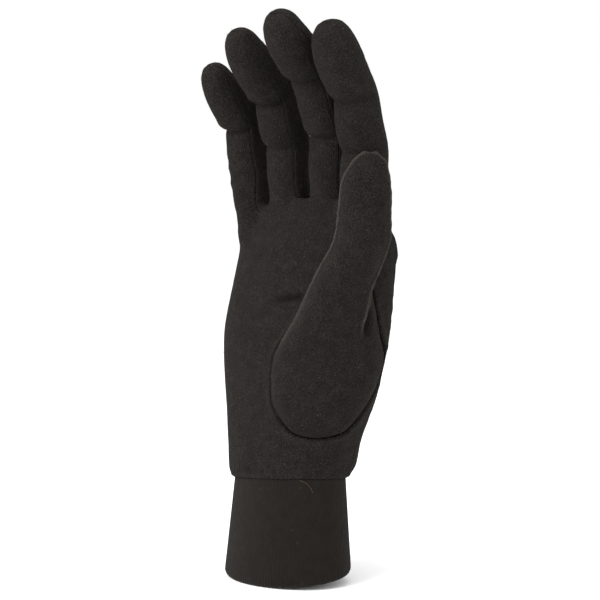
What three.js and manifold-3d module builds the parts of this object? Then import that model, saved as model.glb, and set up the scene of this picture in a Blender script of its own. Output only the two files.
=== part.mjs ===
// A knitted glove liner for a right hand, holding the form of the hand that wears it.
// It is cut and sewn: a palm panel and a back panel, a strip between each two fingers,
// an inset thumb of two panels, and a rib-knit cuff. Every piece is a thin hollow wall.
//
// +Z runs from the cuff's mouth to the fingertips, -Y is the palm side and +X the thumb side.
// The origin is the middle of the cuff's mouth. Lengths are millimetres, angles are degrees.
import * as THREE from 'three';
import Module from 'manifold-3d';

const wasm = await Module();
wasm.setup();

// Fabric
const jerseyWall = 1.4;
const cuffWall = 2.2;
const seamGap = 0.3;

// Cuff: a tube that widens down the forearm. Its mouth and its seam each lean by a tilt towards a turn,
// which is counted from the palm side to the thumb side. The seam's middle lies seamSide towards the thumb.
const cuffHeight = 43.3;
const cuffWidth = 57.6;
const cuffDepth = 41;
const mouthWidth = 65.4;
const mouthDepth = 48;
const mouthTilt = -7.8;
const mouthTurn = -5;
const seamTilt = 8;
const seamTurn = 42;
const seamSide = 1.6;

// Hand, from the cuff seam to the web between the middle and ring fingers
const palmHeight = 128;
const palmWidth = 90;
const palmDepth = 38;
const footRise = 7;
const edgeSeamBack = 7;
const gatherCount = 9;
const gatherDepth = 0.8;
const gatherRise = 16;
const knuckleFall = 20;
const knuckleDrop = 19;
const knuckleRise = 3.5;
const knuckleReach = 11;

// Thumb, from the foot of the oval where it is set into the palm to its tip. Its foot is so far above
// the cuff seam, and it stands out from the palm at thumbTurn, between the palm and the thumb side. The
// seam around it lies thumbSeamFront before its middle.
const thumbTurn = 42;
const thumbFoot = 20;
const thumbLength = 131.5;
const thumbWidth = 53;
const thumbDepth = 40;
const thumbSeamFront = 2.4;

// Fingers: side and wide are shares of palmWidth, back of palmDepth, long of fingerLength and deep of the
// finger's own width. Each root is its drop below the web line, and bends are those of its three lengths.
const fingerLength = 98.4;
const FINGERS = [
  {
    side: 0.371, back: 0.387, drop: 5, wide: 0.243, deep: 0.92, long: 0.925, splay: 1.6,
    bends: [3.1, 13.3, 13.1],
  },
  {
    side: 0.132, back: 0.474, drop: 3, wide: 0.23, deep: 0.92, long: 1.008, splay: 1.1,
    bends: [4.6, 20.5, 13.8],
  },
  {
    side: -0.121, back: 0.4, drop: 5.5, wide: 0.216, deep: 0.94, long: 0.925, splay: -1.9,
    bends: [6.4, 12.4, 17.9],
  },
  {
    side: -0.359, back: 0.326, drop: 11, wide: 0.194, deep: 0.94, long: 0.79, splay: -3,
    bends: [4.7, 6.8, 21.6],
  },
].map((finger) => ({
  ...finger,
  root: new THREE.Vector3(
    finger.side * palmWidth,
    finger.back * palmDepth,
    cuffHeight + palmHeight - finger.drop,
  ),
  width: finger.wide * palmWidth,
  depth: finger.wide * palmWidth * finger.deep,
  length: finger.long * fingerLength,
}));
const JOINTS = [0.3, 0.553];
const jointReach = 0.12;
const stripOverlap = 2;

// How finely the tubes are drawn: points around a ring outside and inside, the largest share between two
// rings, and the power that squares a ring's corners (2 is an ellipse)
const DRAWN = {
  cuff: { outside: 36, inside: 24, power: 2 },
  palm: { outside: 36, inside: 20, step: 0.14, power: 2.3 },
  finger: { outside: 14, inside: 8, step: 0.17, power: 2.2 },
  strip: { step: 0.14 },
  thumb: { outside: 18, inside: 12, step: 0.1, power: 2.3 },
};

// How far a cutting shape runs past what it cuts: a length, and a share of a finger and of a width
const cutPast = 3;
const pastTip = 1.15;
const pastSide = 0.8;
// What keeps two cutting faces from lying on each other
const hairline = 0.02;

// Shapes of the pieces. Each row is a section, and its lengths are shares of the sizes above.
const PALM_FORM = [
  { at: 0.0, side: 0.004, back: 0.04, wide: 0.66, deep: 1.12 },
  { at: 0.02, side: 0.0, back: 0.06, wide: 0.675, deep: 1.15 },
  { at: 0.05, side: -0.002, back: 0.09, wide: 0.69, deep: 1.18 },
  { at: 0.15, side: 0.003, back: 0.125, wide: 0.752, deep: 1.24 },
  { at: 0.28, side: 0.006, back: 0.205, wide: 0.87, deep: 1.24 },
  { at: 0.41, side: 0.005, back: 0.265, wide: 0.965, deep: 1.18 },
  { at: 0.53, side: 0.002, back: 0.33, wide: 1.015, deep: 1.12 },
  { at: 0.68, side: 0.009, back: 0.405, wide: 1.005, deep: 1.0 },
  { at: 0.82, side: 0.015, back: 0.44, wide: 0.965, deep: 0.87 },
  { at: 0.93, side: 0.02, back: 0.425, wide: 0.92, deep: 0.66 },
  { at: 1.0, side: 0.005, back: 0.41, wide: 0.88, deep: 0.42 },
];
const FINGER_FORM = [
  { at: -0.16, pad: 0, wide: 1.0, deep: 0.98 },
  { at: 0.0, pad: 0, wide: 1.0, deep: 1.02 },
  { at: 0.16, pad: 0.01, wide: 0.99, deep: 1.02 },
  { at: 0.3, pad: -0.05, wide: 0.98, deep: 0.92 },
  { at: 0.42, pad: 0.01, wide: 0.98, deep: 0.97 },
  { at: 0.55, pad: -0.05, wide: 0.95, deep: 0.86 },
  { at: 0.68, pad: 0.04, wide: 0.99, deep: 1.0 },
  { at: 0.82, pad: 0.06, wide: 0.97, deep: 0.98 },
  { at: 0.92, pad: 0.05, wide: 0.8, deep: 0.8 },
  { at: 0.97, pad: 0.03, wide: 0.55, deep: 0.54 },
  { at: 0.99, pad: 0.02, wide: 0.28, deep: 0.28 },
];
const STRIP_FORM = [
  { at: -0.1, half: 0.26 },
  { at: 0.1, half: 0.28 },
  { at: 0.6, half: 0.2 },
  { at: 0.82, half: 0.1 },
  { at: 0.9, half: 0.04 },
];
const THUMB_FORM = [
  { at: 0.0, side: 0.25, front: 0.575, wide: 0.05, deep: 0.1, turn: 0 },
  { at: 0.045, side: 0.262, front: 0.52, wide: 0.45, deep: 0.4, turn: 0 },
  { at: 0.12, side: 0.28, front: 0.455, wide: 0.77, deep: 0.65, turn: 0 },
  { at: 0.2, side: 0.318, front: 0.41, wide: 0.895, deep: 0.8, turn: 0 },
  { at: 0.29, side: 0.358, front: 0.41, wide: 0.925, deep: 0.86, turn: 26 },
  { at: 0.37, side: 0.392, front: 0.5, wide: 0.775, deep: 0.82, turn: 38 },
  { at: 0.45, side: 0.42, front: 0.61, wide: 0.63, deep: 0.77, turn: 32 },
  { at: 0.53, side: 0.452, front: 0.74, wide: 0.52, deep: 0.72, turn: 17 },
  { at: 0.62, side: 0.54, front: 0.88, wide: 0.485, deep: 0.64, turn: 0 },
  { at: 0.7, side: 0.62, front: 0.97, wide: 0.447, deep: 0.6, turn: 0 },
  { at: 0.8, side: 0.638, front: 1.07, wide: 0.41, deep: 0.56, turn: 0 },
  { at: 0.9, side: 0.648, front: 1.12, wide: 0.375, deep: 0.52, turn: 0 },
  { at: 0.96, side: 0.672, front: 1.14, wide: 0.26, deep: 0.38, turn: 0 },
  { at: 0.99, side: 0.677, front: 1.15, wide: 0.13, deep: 0.2, turn: 0 },
];

const xAxis = new THREE.Vector3(1, 0, 0);
const yAxis = new THREE.Vector3(0, 1, 0);
const { degToRad, lerp, smoothstep } = THREE.MathUtils;

// The level direction that a turn gives, from the palm side towards the thumb side.
const facing = (turn) => new THREE.Vector3(Math.sin(degToRad(turn)), -Math.cos(degToRad(turn)), 0);

// The value of a column at a share, on a smooth curve through the table's rows.
function read(rows, column, at) {
  const last = rows.length - 1;
  let k = 0;
  while (k < last - 1 && rows[k + 1].at < at) k += 1;
  const slope = (i) => {
    const low = rows[Math.max(0, i - 1)];
    const high = rows[Math.min(last, i + 1)];
    return (high[column] - low[column]) / (high.at - low.at);
  };
  const span = rows[k + 1].at - rows[k].at;
  const t = THREE.MathUtils.clamp((at - rows[k].at) / span, 0, 1);
  const shifted = 3 * t ** 2 - 2 * t ** 3;
  const leaving = (t ** 3 - 2 * t ** 2 + t) * span * slope(k);
  const arriving = (t ** 3 - t ** 2) * span * slope(k + 1);
  return lerp(rows[k][column], rows[k + 1][column], shifted) + leaving + arriving;
}

// The shares at a table's rows, with others between rows that are further apart than a step.
function stations(rows, step) {
  const shares = rows.slice(1).flatMap((row, i) => {
    const parts = Math.ceil((row.at - rows[i].at) / step - 1e-6);
    return Array.from({ length: parts }, (_, part) => lerp(rows[i].at, row.at, part / parts));
  });
  return [...shares, rows.at(-1).at];
}

// One closed ring of a tube: a rounded oval across two directions.
function ring(centre, across, along, halfWide, halfDeep, square, count) {
  return Array.from({ length: count }, (_, i) => {
    const t = (2 * Math.PI * (i + 0.5)) / count;
    const c = Math.cos(t);
    const s = Math.sin(t);
    const r = (Math.abs(c) ** square + Math.abs(s) ** square) ** (-1 / square);
    return centre.clone().addScaledVector(across, halfWide * c * r).addScaledVector(along, halfDeep * s * r);
  });
}

// A solid skinned over rings that all turn the same way. Each end is closed by bars across its ring, and
// the second half of a ring is split into triangles as a mirror of the first, so a thin slab stays even.
function skin(rings) {
  const count = rings[0].length;
  const top = (rings.length - 1) * count;
  const faces = [];
  for (let j = 0; j < count; j += 1) {
    const next = (j + 1) % count;
    for (let low = 0; low < top; low += count) {
      const high = low + count;
      if (j < count / 2) {
        faces.push(low + j, low + next, high + next, low + j, high + next, high + j);
      } else {
        faces.push(low + j, low + next, high + j, low + next, high + next, high + j);
      }
    }
  }
  for (let j = 0; j < count / 2 - 1; j += 1) {
    const bar = [j, j + 1, count - 2 - j, count - 1 - j];
    faces.push(bar[0], bar[2], bar[1], bar[0], bar[3], bar[2]);
    faces.push(top + bar[0], top + bar[1], top + bar[2], top + bar[0], top + bar[2], top + bar[3]);
  }
  return new wasm.Manifold(new wasm.Mesh({
    numProp: 3,
    vertProperties: new Float32Array(rings.flat().flatMap((p) => p.toArray())),
    triVerts: new Uint32Array(faces),
  }));
}

const fold = (solids) => solids.reduce((all, solid) => all.add(solid));

// Leans a level ring by a tilt towards a turn.
function lean(points, centre, tilt, turn) {
  const out = facing(turn);
  for (const p of points) p.z += Math.tan(degToRad(tilt)) * p.clone().sub(centre).dot(out);
}

const palmLevel = (at) => cuffHeight + palmHeight * at;
const palmCentre = (at) => new THREE.Vector3(
  read(PALM_FORM, 'side', at) * palmWidth,
  read(PALM_FORM, 'back', at) * palmDepth,
  palmLevel(at),
);

// One section of the hand below the fingers. It starts at the cuff's own size and rounds out from there,
// eased into gathers, with a knuckle behind each finger and a web line that falls to the little finger.
function palmRing(at, inset, count) {
  const rise = palmHeight * at;
  const rounded = Math.sqrt(1 - (1 - Math.min(1, rise / footRise)) ** 2);
  const centre = palmCentre(at);
  const halfWide = lerp(cuffWidth, read(PALM_FORM, 'wide', at) * palmWidth, rounded) / 2 - inset;
  const halfDeep = lerp(cuffDepth, read(PALM_FORM, 'deep', at) * palmDepth, rounded) / 2 - inset;
  const foot = new THREE.Vector3(seamSide, 0, centre.z).lerp(centre, rounded);
  const power = lerp(DRAWN.cuff.power, DRAWN.palm.power, rounded);
  const points = ring(foot, xAxis, yAxis, halfWide, halfDeep, power, count);
  const gather = inset > 0 ? 0 : gatherDepth * rounded * (1 - smoothstep(rise, footRise, gatherRise));
  for (const p of points) {
    const out = p.clone().sub(foot).normalize();
    const turn = Math.atan2(p.y - foot.y, p.x - foot.x);
    p.addScaledVector(out, (gather * (1 + Math.cos(gatherCount * turn))) / 2);
    for (const finger of FINGERS) {
      const near = Math.hypot(p.x - finger.root.x, p.z - finger.root.z + knuckleDrop) / knuckleReach;
      if (p.y > foot.y) p.y += knuckleRise * Math.exp(-(near ** 2));
    }
    p.z += knuckleFall * at ** 3 * Math.min(0, p.x / palmWidth) - inset * at;
  }
  lean(points, foot, seamTilt * (1 - at) ** 3, seamTurn);
  return points;
}

// The hand below the fingers, drawn in by inset. A drawn-in one runs out below, to open the shell.
function palmSolid(inset, count) {
  const rings = stations(PALM_FORM, DRAWN.palm.step).map((at) => palmRing(at, inset, count));
  if (inset > 0) rings.unshift(rings[0].map((p) => p.clone().setZ(p.z - inset)));
  return skin(rings);
}

// Where a finger's middle line is at a share of its length, with its three directions there.
function fingerPlace(finger, at) {
  const splay = degToRad(finger.splay);
  const rise = new THREE.Vector3(Math.sin(splay), 0, Math.cos(splay));
  const lateral = new THREE.Vector3(Math.cos(splay), 0, -Math.sin(splay));
  const heading = (share) => {
    const bend = degToRad(JOINTS.reduce((sum, joint, i) => {
      const passed = smoothstep(share, joint - jointReach / 2, joint + jointReach / 2);
      return sum + finger.bends[i + 1] * passed;
    }, finger.bends[0]));
    return rise.clone().multiplyScalar(Math.cos(bend)).addScaledVector(yAxis, -Math.sin(bend));
  };
  const point = finger.root.clone();
  const steps = 40;
  for (let i = 0; i < steps; i += 1) {
    point.addScaledVector(heading((at * (i + 0.5)) / steps), (finger.length * at) / steps);
  }
  return { point, lateral, dorsal: heading(at).cross(lateral) };
}

// A point beside a finger's middle line: so far to the thumb side and so far to the back.
function fingerPoint(finger, at, across, back) {
  const { point, lateral, dorsal } = fingerPlace(finger, at);
  const pad = read(FINGER_FORM, 'pad', Math.min(at, 1)) * finger.depth;
  return point.addScaledVector(lateral, across).addScaledVector(dorsal, back - pad);
}

// One finger's tube, drawn in by inset.
function fingerSolid(finger, inset, count) {
  const { step, power } = DRAWN.finger;
  return skin(stations(FINGER_FORM, step).map((at) => {
    const { lateral, dorsal } = fingerPlace(finger, at);
    const centre = fingerPoint(finger, at - (inset / finger.length) * smoothstep(at, 0.5, 1), 0, 0);
    const halfWide = (read(FINGER_FORM, 'wide', at) * finger.width) / 2;
    const halfDeep = (read(FINGER_FORM, 'deep', at) * finger.depth) / 2;
    const thin = inset * Math.min(1, (2 * halfDeep) / finger.depth + 0.1);
    return ring(centre, lateral, dorsal, halfWide - thin, halfDeep - thin, power, count);
  }));
}

// The thumb's sections are level. They run across its turn and along it.
const thumbFront = facing(thumbTurn);
const thumbAcross = facing(thumbTurn + 90);
function thumbCentre(at) {
  return thumbAcross.clone().multiplyScalar(read(THUMB_FORM, 'side', at) * thumbWidth)
    .addScaledVector(thumbFront, read(THUMB_FORM, 'front', at) * thumbDepth)
    .setZ(cuffHeight + thumbFoot + thumbLength * at);
}

// The thumb and the ball of the thumb, drawn in by inset.
function thumbSolid(inset, count) {
  const { step, power } = DRAWN.thumb;
  return skin(stations(THUMB_FORM, step).map((at) => {
    const centre = thumbCentre(at);
    centre.z += inset * (1 - 2 * at);
    const halfWide = (read(THUMB_FORM, 'wide', at) * thumbWidth) / 2;
    const halfDeep = (read(THUMB_FORM, 'deep', at) * thumbDepth) / 2;
    const thin = Math.min(inset, halfWide * 0.6, halfDeep * 0.6);
    const back = thumbFront.clone().negate();
    return ring(centre, thumbAcross, back, halfWide - thin, halfDeep - thin, power, count);
  }));
}

// The cuff's tube, drawn in by inset and longer at each end by extra.
function cuffSolid(inset, extra, count) {
  const top = cuffHeight - seamGap;
  return skin([0, 0.5, 1].map((at) => {
    const level = lerp(-extra, top + extra, at);
    const halfWide = lerp(mouthWidth, cuffWidth, level / top) / 2 - inset;
    const halfDeep = lerp(mouthDepth, cuffDepth, level / top) / 2 - inset;
    const centre = new THREE.Vector3(lerp(0, seamSide, level / top), 0, level);
    const points = ring(centre, xAxis, yAxis, halfWide, halfDeep, DRAWN.cuff.power, count);
    lean(points, centre, lerp(mouthTilt, 0, at), mouthTurn);
    lean(points, centre, lerp(0, seamTilt, at), seamTurn);
    return points;
  }));
}

// A closed slab between a row of points and the same row turned over, stacked upwards.
const slab = (rows) => skin(rows.map(([front, back]) => [...front, ...back.toReversed()]));

// Half the way from one finger's middle line to the next one's, at a share of their lengths.
function halfWay(i, at) {
  const [here, next] = [FINGERS[i], FINGERS[i + 1]].map((finger) => fingerPlace(finger, at).point.x);
  return (here - next) / 2 - hairline;
}

// The strip between a finger and the next one, as the block that cuts it out of the shell.
function stripSolid(i, grow) {
  return slab(stations(STRIP_FORM, DRAWN.strip.step).map((at) => {
    const half = halfWay(i, at);
    const [here, next] = [FINGERS[i], FINGERS[i + 1]];
    const corners = [[next, -stripOverlap], [next, half], [here, -half], [here, stripOverlap]];
    return [-1, 1].map((side) => corners.map(([finger, across]) => fingerPoint(
      finger,
      at,
      across,
      side * (read(STRIP_FORM, 'half', at) * finger.depth + grow),
    )));
  }));
}

// The thin sheet between palm side and back: over all fingertips and down both edges of the hand. On the
// thumb side its seam lies further back.
function dividerSolid() {
  const reach = palmWidth / 2;
  const columns = (at) => {
    const [first, second, third] = [0, 1, 2].map((i) => halfWay(i, at));
    const [index, middle, ringFinger, little] = FINGERS;
    return [
      [little, -reach, 0], [little, 0, 0], [little, third, 0],
      [ringFinger, -third, 0], [ringFinger, 0, 0], [ringFinger, second, 0],
      [middle, -second, 0], [middle, 0, 0], [middle, first, 0],
      [index, -first, 0], [index, 0, 0], [index, index.width / 3, edgeSeamBack], [index, reach, edgeSeamBack],
    ];
  };
  const rootShare = FINGER_FORM[0].at;
  const row = (at, place) => [-seamGap / 2, seamGap / 2].map((v) => (
    columns(at).map(([finger, across, set]) => place(finger, across, set + v))));
  const inPalm = (share) => row(rootShare, (finger, across, v) => new THREE.Vector3(
    finger.root.x + across,
    palmCentre(Math.max(0, share)).y + v,
    palmLevel(share),
  ));
  const inFinger = (at) => row(at, (finger, across, v) => fingerPoint(finger, at, across, v));
  const above = row(pastTip, (finger, across, v) => new THREE.Vector3(
    finger.root.x + across,
    v - palmWidth,
    cuffHeight + palmHeight + 1.5 * fingerLength,
  ));
  const palmShares = [-0.1, 0, 0.2, 0.4, 0.6, 0.78];
  const fingerShares = [...stations(FINGER_FORM, 1), pastTip];
  return slab([...palmShares.map(inPalm), ...fingerShares.map(inFinger), above]);
}

// The thin sheet between the thumb's front and back panels. Its seam on the thumb side swings forward
// over the ball of the thumb, and the sheet runs on past both ends of the thumb.
function thumbDividerSolid() {
  const reach = pastSide * thumbWidth;
  const row = (at, lift) => {
    const turn = degToRad(read(THUMB_FORM, 'turn', at));
    return [seamGap / 2, -seamGap / 2].map((front) => {
      const centre = thumbCentre(at).addScaledVector(thumbFront, thumbSeamFront + front);
      centre.z += lift;
      const right = centre.clone().addScaledVector(thumbAcross, reach * Math.cos(turn))
        .addScaledVector(thumbFront, reach * Math.sin(turn));
      return [centre.clone().addScaledVector(thumbAcross, -reach), centre, right];
    });
  };
  const past = 0.1 * thumbLength;
  const rows = stations(THUMB_FORM, DRAWN.thumb.step).map((at) => row(at, 0));
  return slab([row(THUMB_FORM[0].at, -past), ...rows, row(THUMB_FORM.at(-1).at, past)]);
}

const byVolume = (solid) => solid.decompose().sort((a, b) => b.volume() - a.volume());
const middleOf = (solid, axis) => {
  const { min, max } = solid.boundingBox();
  return (min[axis] + max[axis]) / 2;
};

const { cuff: cuffDrawn, palm: palmDrawn, finger: fingerDrawn, thumb: thumbDrawn } = DRAWN;
const handSolid = (inset, side) => fold([
  palmSolid(inset, palmDrawn[side]),
  ...FINGERS.map((finger) => fingerSolid(finger, inset, fingerDrawn[side])),
]);
const thumbInner = thumbSolid(jerseyWall, thumbDrawn.inside);
const handShell = handSolid(0, 'outside').subtract(handSolid(jerseyWall, 'inside')).subtract(thumbInner);

const strips = [0, 1, 2].map((i) => byVolume(handShell.intersect(stripSolid(i, -seamGap / 2)))[0]);
const stripRoom = fold([0, 1, 2].map((i) => stripSolid(i, seamGap / 2)));
const panels = handShell.subtract(dividerSolid()).subtract(stripRoom);
const [backPanel, palmPanel] = byVolume(panels).slice(0, 2).sort((a, b) => middleOf(b, 1) - middleOf(a, 1));

const thumbOuter = thumbSolid(0, thumbDrawn.outside);
const thumbShell = thumbOuter.subtract(thumbInner).subtract(palmSolid(-seamGap, palmDrawn.outside));
const [thumbBack, thumbFrontPanel] = byVolume(thumbShell.subtract(thumbDividerSolid())).slice(0, 2)
  .sort((a, b) => middleOf(b, 1) - middleOf(a, 1));

const cuff = cuffSolid(0, 0, cuffDrawn.outside).subtract(cuffSolid(cuffWall, cutPast, cuffDrawn.inside));

function piece(name, solid, colour) {
  const mesh = solid.getMesh();
  const geometry = new THREE.BufferGeometry();
  geometry.setAttribute('position', new THREE.BufferAttribute(new Float32Array(mesh.vertProperties), 3));
  geometry.setIndex(new THREE.BufferAttribute(new Uint32Array(mesh.triVerts), 1));
  geometry.computeVertexNormals();
  const part = new THREE.Mesh(geometry, new THREE.MeshStandardMaterial({ color: colour, roughness: 0.95 }));
  part.name = name;
  return part;
}

const jersey = '#2e2b28';
const rib = '#2b2623';
const glove = new THREE.Group();
glove.add(piece('palm_panel', palmPanel, jersey));
glove.add(piece('back_panel', backPanel, jersey));
glove.add(piece('fourchette_index_middle', strips[0], jersey));
glove.add(piece('fourchette_middle_ring', strips[1], jersey));
glove.add(piece('fourchette_ring_little', strips[2], jersey));
glove.add(piece('thumb_front', thumbFrontPanel, jersey));
glove.add(piece('thumb_back', thumbBack, jersey));
glove.add(piece('cuff', cuff, rib));
export default glove;
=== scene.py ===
"""A knitted glove liner for a right hand, worn, seen from its palm side with the thumb in front.

Everything that Blender gets is in metres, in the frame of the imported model: +Z from the cuff's mouth to the
fingertips, -Y the palm side, +X the thumb side, and the origin in the middle of the cuff's mouth. The sizes
that the classes hold are millimetres, as on a cutting plan, and turn to metres when a mesh is made.
"""

import logging
import math
from dataclasses import dataclass, field
from enum import Enum
from typing import ClassVar

import bpy
import numpy as np
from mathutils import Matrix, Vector, noise
from mathutils.bvhtree import BVHTree
from mathutils.kdtree import KDTree


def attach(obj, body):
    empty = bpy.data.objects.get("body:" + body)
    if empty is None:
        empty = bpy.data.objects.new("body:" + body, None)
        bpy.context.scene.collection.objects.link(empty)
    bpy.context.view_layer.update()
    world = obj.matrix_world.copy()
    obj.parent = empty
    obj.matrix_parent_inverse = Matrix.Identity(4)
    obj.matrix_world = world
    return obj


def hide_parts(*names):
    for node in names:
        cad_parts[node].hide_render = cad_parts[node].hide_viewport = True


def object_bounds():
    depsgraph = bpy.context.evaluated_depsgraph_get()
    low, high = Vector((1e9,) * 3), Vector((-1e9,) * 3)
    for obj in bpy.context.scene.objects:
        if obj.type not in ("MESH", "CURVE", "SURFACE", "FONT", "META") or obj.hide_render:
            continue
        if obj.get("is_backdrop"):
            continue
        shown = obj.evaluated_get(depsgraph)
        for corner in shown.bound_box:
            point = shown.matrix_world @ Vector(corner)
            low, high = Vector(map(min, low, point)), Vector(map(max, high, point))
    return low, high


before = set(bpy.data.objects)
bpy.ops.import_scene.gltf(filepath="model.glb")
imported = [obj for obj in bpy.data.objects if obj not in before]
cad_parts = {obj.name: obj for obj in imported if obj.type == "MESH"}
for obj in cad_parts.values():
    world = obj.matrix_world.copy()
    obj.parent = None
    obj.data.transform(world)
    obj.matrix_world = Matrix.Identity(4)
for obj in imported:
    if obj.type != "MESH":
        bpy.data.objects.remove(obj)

log = logging.getLogger("glove_liner")
MM = 0.001
BODY = "root"


class Seam(Enum):
    """The sewn lines of the glove. A point on a cut edge holds the number of its seam, and others hold 0."""

    CUFF = 1
    OVAL = 2
    THUMB = 3
    STRIP = 4
    SIDE = 5


@dataclass(frozen=True)
class SeamLook:
    """How the cloth stands beside a seam: a valley on the line, a roll beside it, and small puckers.

    wear_and_highlight is how pale the roll is, partly rubbed wear and partly a painted highlight, and line how wide
    the painted shade line in the valley is, in millimetres.
    """

    valley: float
    valley_width: float
    roll: float
    roll_at: float
    roll_width: float
    pucker: float
    wear_and_highlight: float
    line: float

    def rise(self, away: np.ndarray) -> np.ndarray:
        """How far the cloth stands out at some distances from the line.

        Args:
            away: distances from the seam in millimetres.

        Returns:
            Heights in millimetres, below zero in the valley.
        """
        dip = self.valley * np.exp(-((away / self.valley_width) ** 2))
        return self.roll * np.exp(-(((away - self.roll_at) / self.roll_width) ** 2)) - dip


SEAM_LOOKS = {
    Seam.CUFF: SeamLook(0.4, 0.8, 0.25, 1.6, 1.1, 0.0, 0.03, 0.3),
    Seam.OVAL: SeamLook(1.1, 0.75, 0.45, 2.3, 1.4, 0.12, 0.07, 0.33),
    Seam.THUMB: SeamLook(0.1, 0.3, 1.0, 0.45, 0.85, 0.1, 0.7, -1.0),
    Seam.STRIP: SeamLook(0.1, 0.35, 0.15, 0.8, 0.8, 0.06, 0.06, -1.0),
    Seam.SIDE: SeamLook(0.2, 0.35, 0.15, 1.0, 0.9, 0.05, 0.05, -0.05),
}


class Table:
    """Rows of sections at shares of a length, read on a smooth curve through them."""

    def __init__(self, columns: str, rows: list[tuple[float, ...]]) -> None:
        """Keeps the rows.

        Args:
            columns: the names of the columns after the first, which is the share.
            rows: the share and the values of each section.
        """
        data = np.array(rows)
        self.shares = data[:, 0]
        self.columns = dict(zip(columns.split(), data[:, 1:].T))

    def read(self, column: str, at: np.ndarray | float) -> np.ndarray:
        """The values of a column at some shares.

        Args:
            column: the column's name.
            at: shares of the length.

        Returns:
            The values there.
        """
        s, v = self.shares, self.columns[column]
        k = np.clip(np.searchsorted(s, at, side="left") - 1, 0, len(s) - 2)
        low, high = np.maximum(np.arange(len(s)) - 1, 0), np.minimum(np.arange(len(s)) + 1, len(s) - 1)
        slope = (v[high] - v[low]) / (s[high] - s[low])
        span = s[k + 1] - s[k]
        t = np.clip((at - s[k]) / span, 0, 1)
        start = (2 * t**3 - 3 * t**2 + 1) * v[k] + (t**3 - 2 * t**2 + t) * span * slope[k]
        return start + (3 * t**2 - 2 * t**3) * v[k + 1] + (t**3 - t**2) * span * slope[k + 1]


def smoothstep(x: np.ndarray | float, low: float, high: float) -> np.ndarray:
    """Eases from 0 at low to 1 at high."""
    t = np.clip((x - low) / (high - low), 0, 1)
    return t * t * (3 - 2 * t)


def facing(turn: float) -> np.ndarray:
    """The level direction that a turn gives, from the palm side towards the thumb side."""
    return np.array([math.sin(math.radians(turn)), -math.cos(math.radians(turn)), 0.0])


def oval(count: int, square: float) -> np.ndarray:
    """Points round a rounded oval of half width and half depth one.

    Args:
        count: how many points.
        square: 2 for an ellipse, and more for a squarer oval.

    Returns:
        An array of count rows, across and along.
    """
    t = 2 * np.pi * (np.arange(count) + 0.5) / count
    c, s = np.cos(t), np.sin(t)
    reach = (np.abs(c) ** square + np.abs(s) ** square) ** (-1 / square)
    return np.stack([c * reach, s * reach], 1)


@dataclass(frozen=True)
class Finger:
    """One finger: its root on the palm, its shares of the glove's sizes, its bends and its creases."""

    name: str
    side: float
    back: float
    drop: float
    wide: float
    deep: float
    long: float
    splay: float
    bends: tuple[float, float, float]
    creases: tuple[float, float]
    depths: tuple[float, float]
    full: float

    def shape_at(self, at: np.ndarray) -> np.ndarray:
        """The share in the fingers' common table for a share of this finger, whose creases lie on their own."""
        return np.interp(at, (-0.16, 0, *self.creases, 0.99), (-0.16, 0, 0.3, 0.55, 0.99))


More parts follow.
